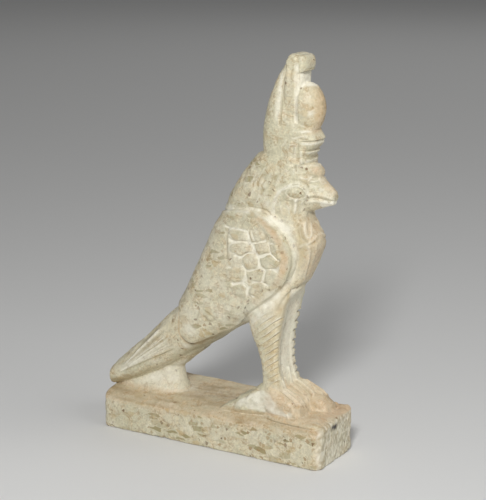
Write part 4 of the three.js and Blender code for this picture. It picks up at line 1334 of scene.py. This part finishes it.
# Layers of flecks: turn, stretch, size in millimetres, share of cells, colour, strength where the
# stone is fine and what is added where it is coarse
FLECK_LAYERS = [
    ((0.3, 0.5, 0.9), (0.45, 1.35, 1.2), 1.6, 0.13, OLIVE, 0.05, 0.8),
    ((1.1, 0.7, -0.5), (0.45, 1.4, 1.3), 1.4, 0.13, OLIVE, 0.08, 0.75),
    ((-0.6, 1.2, 0.3), (1.3, 0.5, 1.3), 1.2, 0.11, BROWN, 0.06, 0.5),
    ((0.9, -0.8, 1.4), (0.7, 1.1, 1.0), 1.7, 0.13, TAN, 0.3, 0.3),
    ((0.5, 0.4, 0.2), (1.0, 0.6, 1.0), 0.55, 0.1, BROWN, 0.28, 0.0),
]
FLECK_INSET = 0.06
# Width of a fleck's soft edge, as a part of its cell
FLECK_EDGE = 0.07
# Dark specks all over: turn, stretch, shift, then size, share of cells and inset
SPECK_PLACE = ((0.2, 0.1, 0.4), (1, 1, 1), 0.9)
SPECK_CELLS = (0.9, 0.04, 0.14)
# Two kinds of thin brown line: turn, stretch and shift, then size and width
HAIRLINES = [
    (((0.2, 0.1, 0.3), (1.0, 1.0, 0.45), 0.3), (2.6, 0.022)),
    (((0.9, 0.5, 0.3), (0.5, 1.0, 1.0), 0.8), (1.9, 0.028)),
]
HAIRLINE_NOISE = (1.5, 0.5, 0.4)
# Marks that tint the stone, where shade is painted shade and some brown marks and tan is partly
# painted shade: the least and the most strength as the grain wavers, and the colour
MARK_TINTS = [
    ("stain", 0.33, 0.6, STAIN), ("tan", 0.4, 0.8, TAN), ("shade", 0.375, 0.675, SHADE),
]
# Strength of the warm and the pale patches, hairlines, specks, and of dust and painted light, with
# dust also in hollows
WARM_STRENGTH = 0.6
PALE_STRENGTH = 0.35
LINE_STRENGTH = 0.45
SPECK_STRENGTH = 0.75
DUST_AND_PAINTED_LIGHT_STRENGTH = 0.85
HOLLOW_STRENGTH = 0.2
# Grain's relief: its strength and its height in metres
RELIEF_STRENGTH = 0.5
RELIEF_HEIGHT = 0.00018


def flecks(nodes, where, size, share, inset):
    """Angular flecks: cells of a lattice, of which a share hold a fleck that stays the inset
    away from the cell's edges. Returns how much fleck a point has and each cell's own number."""
    inputs = {"Vector": where, "Scale": 1 / (size * METRE)}
    cell = nodes.new("TexVoronoi", inputs)
    edge = nodes.new("TexVoronoi", inputs, feature="DISTANCE_TO_EDGE").outputs["Distance"]
    own = nodes.new("SeparateColor", {"Color": cell.outputs["Color"]})
    chosen = nodes.maths("LESS_THAN", own.outputs[0], share)
    inside = nodes.ramp(edge, inset, inset + FLECK_EDGE)
    return nodes.times(inside, chosen), own.outputs[1]


def hairlines(nodes, where, size, width):
    """Thin wandering lines: where noise of the size crosses its middle value."""
    level = nodes.maths("SUBTRACT", nodes.noise(where, size, *HAIRLINE_NOISE), 0.5)
    return nodes.ramp(nodes.maths("ABSOLUTE", level), width, width * 0.3)


def cream_ground(nodes, where, patch, grain, fine):
    """The stone between its flecks: two creams, warm patches, and a tone by the grain."""
    broad = nodes.noise(where, *BROAD_NOISE)
    colour = nodes.mix(nodes.ramp(broad, 0.4, 0.6), CREAM_GREY, CREAM)
    colour = nodes.mix(nodes.times(nodes.ramp(patch, 0.48, 0.68), WARM_STRENGTH), colour, CREAM_WARM)
    tone = nodes.times(nodes.span(grain, 0.85, 1.07), nodes.span(fine, 0.86, 1.09))
    colour = nodes.mix(1.0, colour, tone, "MULTIPLY")
    pale = nodes.ramp(nodes.noise(where, *PALE_NOISE), 0.55, 0.7)
    return nodes.mix(nodes.times(pale, PALE_STRENGTH), colour, DUST_AND_PAINTED_LIGHT)


def stone():
    """Pale stone with flecks, hairlines and specks, and the skin's marks laid over them."""
    material = bpy.data.materials.new("pale_speckled_stone")
    nodes = Nodes(material)
    where = nodes.new("TexCoord").outputs["Object"]
    patch, grain, fine = (
        nodes.noise(where, *values) for values in (PATCH_NOISE, GRAIN_NOISE, FINE_NOISE))
    coarse = nodes.mark("coarse")
    colour = cream_ground(nodes, where, patch, grain, fine)

    bend = nodes.new("TexNoise", {
        "Vector": where, "Scale": 1 / (FLECK_BEND_SIZE * METRE), "Detail": 3.0})
    bent = nodes.new("VectorMath", {
        0: bend.outputs["Color"], 1: (FLECK_BEND,) * 3, 2: where},
        operation="MULTIPLY_ADD").outputs[0]
    for number, layer in enumerate(FLECK_LAYERS):
        turn, stretch, size, share, fleck_colour, always, extra = layer
        cells = nodes.turned(bent, turn, stretch, 0.1 + 0.2 * number)
        fleck, own = flecks(nodes, cells, size, share, FLECK_INSET)
        strength = nodes.maths("MULTIPLY_ADD", coarse, extra, always)
        part = nodes.times(fleck, strength, nodes.maths("ADD", own, 0.4))
        colour = nodes.mix(part, colour, fleck_colour)
    lines = nodes.maths("MAXIMUM", *[
        hairlines(nodes, nodes.turned(where, *lie), *kind) for lie, kind in HAIRLINES])
    lines = nodes.times(lines, nodes.ramp(patch, 0.42, 0.58), LINE_STRENGTH)
    colour = nodes.mix(lines, colour, BROWN)
    speck, own = flecks(nodes, nodes.turned(bent, *SPECK_PLACE), *SPECK_CELLS)
    speck = nodes.times(speck, nodes.maths("ADD", own, 0.2), SPECK_STRENGTH)
    colour = nodes.mix(speck, colour, SPECK)

    for name, low, high, tint in MARK_TINTS:
        part = nodes.times(nodes.mark(name), nodes.span(grain, low, high))
        colour = nodes.mix(part, colour, tint)
    hollow = nodes.times(nodes.ramp(nodes.mark("hollow"), 0.03, 0.2), HOLLOW_STRENGTH)
    dust = nodes.maths("ADD", nodes.mark("dust"), hollow)
    dust = nodes.maths("MULTIPLY", dust, nodes.span(grain, 0.55, 1.15), clamp=True)
    colour = nodes.mix(nodes.times(dust, DUST_AND_PAINTED_LIGHT_STRENGTH), colour, DUST_AND_PAINTED_LIGHT)
    colour = nodes.mix(nodes.mark("soot"), colour, SOOT)
    nodes.put(nodes.shader.inputs["Base Color"], colour)

    rough = nodes.maths("ADD", nodes.span(grain, 0.34, 0.52), nodes.times(dust, 0.3), clamp=True)
    nodes.put(nodes.shader.inputs["Roughness"], rough)
    height = nodes.maths("ADD", nodes.times(fine, 0.5), grain)
    height = nodes.maths("SUBTRACT", height, nodes.times(lines, 0.8))
    relief = nodes.new("Bump", {
        "Height": height, "Strength": RELIEF_STRENGTH, "Distance": RELIEF_HEIGHT})
    nodes.put(nodes.shader.inputs["Normal"], relief.outputs[0])
    return material


# Stage

FLOOR_REACH = 6.0
FLOOR_COLOUR = (0.75, 0.75, 0.74, 1)
FLOOR_ROUGHNESS = 0.9

# The photograph's view: turned about z, raised above the floor, the distance and the shift of the
# aim to the right and up, in millimetres, and the lens
VIEW_AZIMUTH, VIEW_ELEVATION = np.radians([30.5, 13.9])
VIEW_DISTANCE = 387.0
VIEW_RIGHT, VIEW_UP = 4.5, 48.1
LENS = 108.0
SENSOR_WIDTH = 36
CLIP_NEAR, CLIP_FAR = 0.01, 20

# Square lamps: place along the view's right, up and back, and size, in metres, and watts
LAMPS = {
    "key_lamp": (-0.04, 0.15, 0.44, 0.08, 1.6),
    "fill_lamp": (0.45, 0.3, 0.3, 0.4, 0.9),
    "back_lamp": (0.3, 0.9, -0.6, 0.9, 1.2),
}
WORLD_STRENGTH = 0.16


def floor():
    """A plain pale floor."""
    mesh = bpy.data.meshes.new("floor")
    corners = [(FLOOR_REACH * x, FLOOR_REACH * y, 0) for x, y in ((-1, -1), (1, -1), (1, 1), (-1, 1))]
    mesh.from_pydata(corners, [], [(0, 1, 2, 3)])
    piece = linked("floor", mesh)
    material = bpy.data.materials.new("pale_floor")
    nodes = Nodes(material)
    nodes.put(nodes.shader.inputs["Base Color"], FLOOR_COLOUR)
    nodes.put(nodes.shader.inputs["Roughness"], FLOOR_ROUGHNESS)
    mesh.materials.append(material)


def view_axes():
    """Unit vectors from the object to the eye, to the eye's right and up."""
    flat = np.cos(VIEW_ELEVATION)
    back = np.array([
        np.sin(VIEW_AZIMUTH) * flat, -np.cos(VIEW_AZIMUTH) * flat, np.sin(VIEW_ELEVATION)])
    right = np.array([np.cos(VIEW_AZIMUTH), np.sin(VIEW_AZIMUTH), 0])
    return back, right, np.cross(back, right)


def camera():
    """The photograph's camera. Its shift moves it sideways without turning it."""
    back, right, up = view_axes()
    eye = back * VIEW_DISTANCE + right * VIEW_RIGHT + up * VIEW_UP
    data = bpy.data.cameras.new("camera")
    data.lens = LENS
    data.sensor_width = SENSOR_WIDTH
    data.clip_start, data.clip_end = CLIP_NEAR, CLIP_FAR
    piece = linked("camera", data)
    piece.location = Vector(eye * METRE)
    piece.rotation_euler = Vector(-back).to_track_quat("-Z", "Y").to_euler()
    bpy.context.scene.camera = piece


def light():
    """Lamps aimed at the figure's middle, and a weak even light all round."""
    back_axis, right_axis, up_axis = view_axes()
    aim = Vector((0, 0, HIGH[2] / 2 * METRE))
    for name, (right, up, back, size, watts) in LAMPS.items():
        data = bpy.data.lights.new(name, "AREA")
        data.size = size
        data.energy = watts
        piece = linked(name, data)
        piece.location = Vector(right_axis * right + up_axis * up + back_axis * back) + aim
        piece.rotation_euler = (piece.location - aim).to_track_quat("Z", "Y").to_euler()
    world = bpy.data.worlds.new("studio")
    world.use_nodes = True
    shade = world.node_tree.nodes["Background"]
    shade.inputs["Color"].default_value = (1, 1, 1, 1)
    shade.inputs["Strength"].default_value = WORLD_STRENGTH
    bpy.context.scene.world = world
    bpy.context.scene.view_settings.view_transform = "Standard"


camera()
light()
floor()
carving = falcon()
carving.data.materials.append(stone())
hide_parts(NODE)
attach(carving, "root")
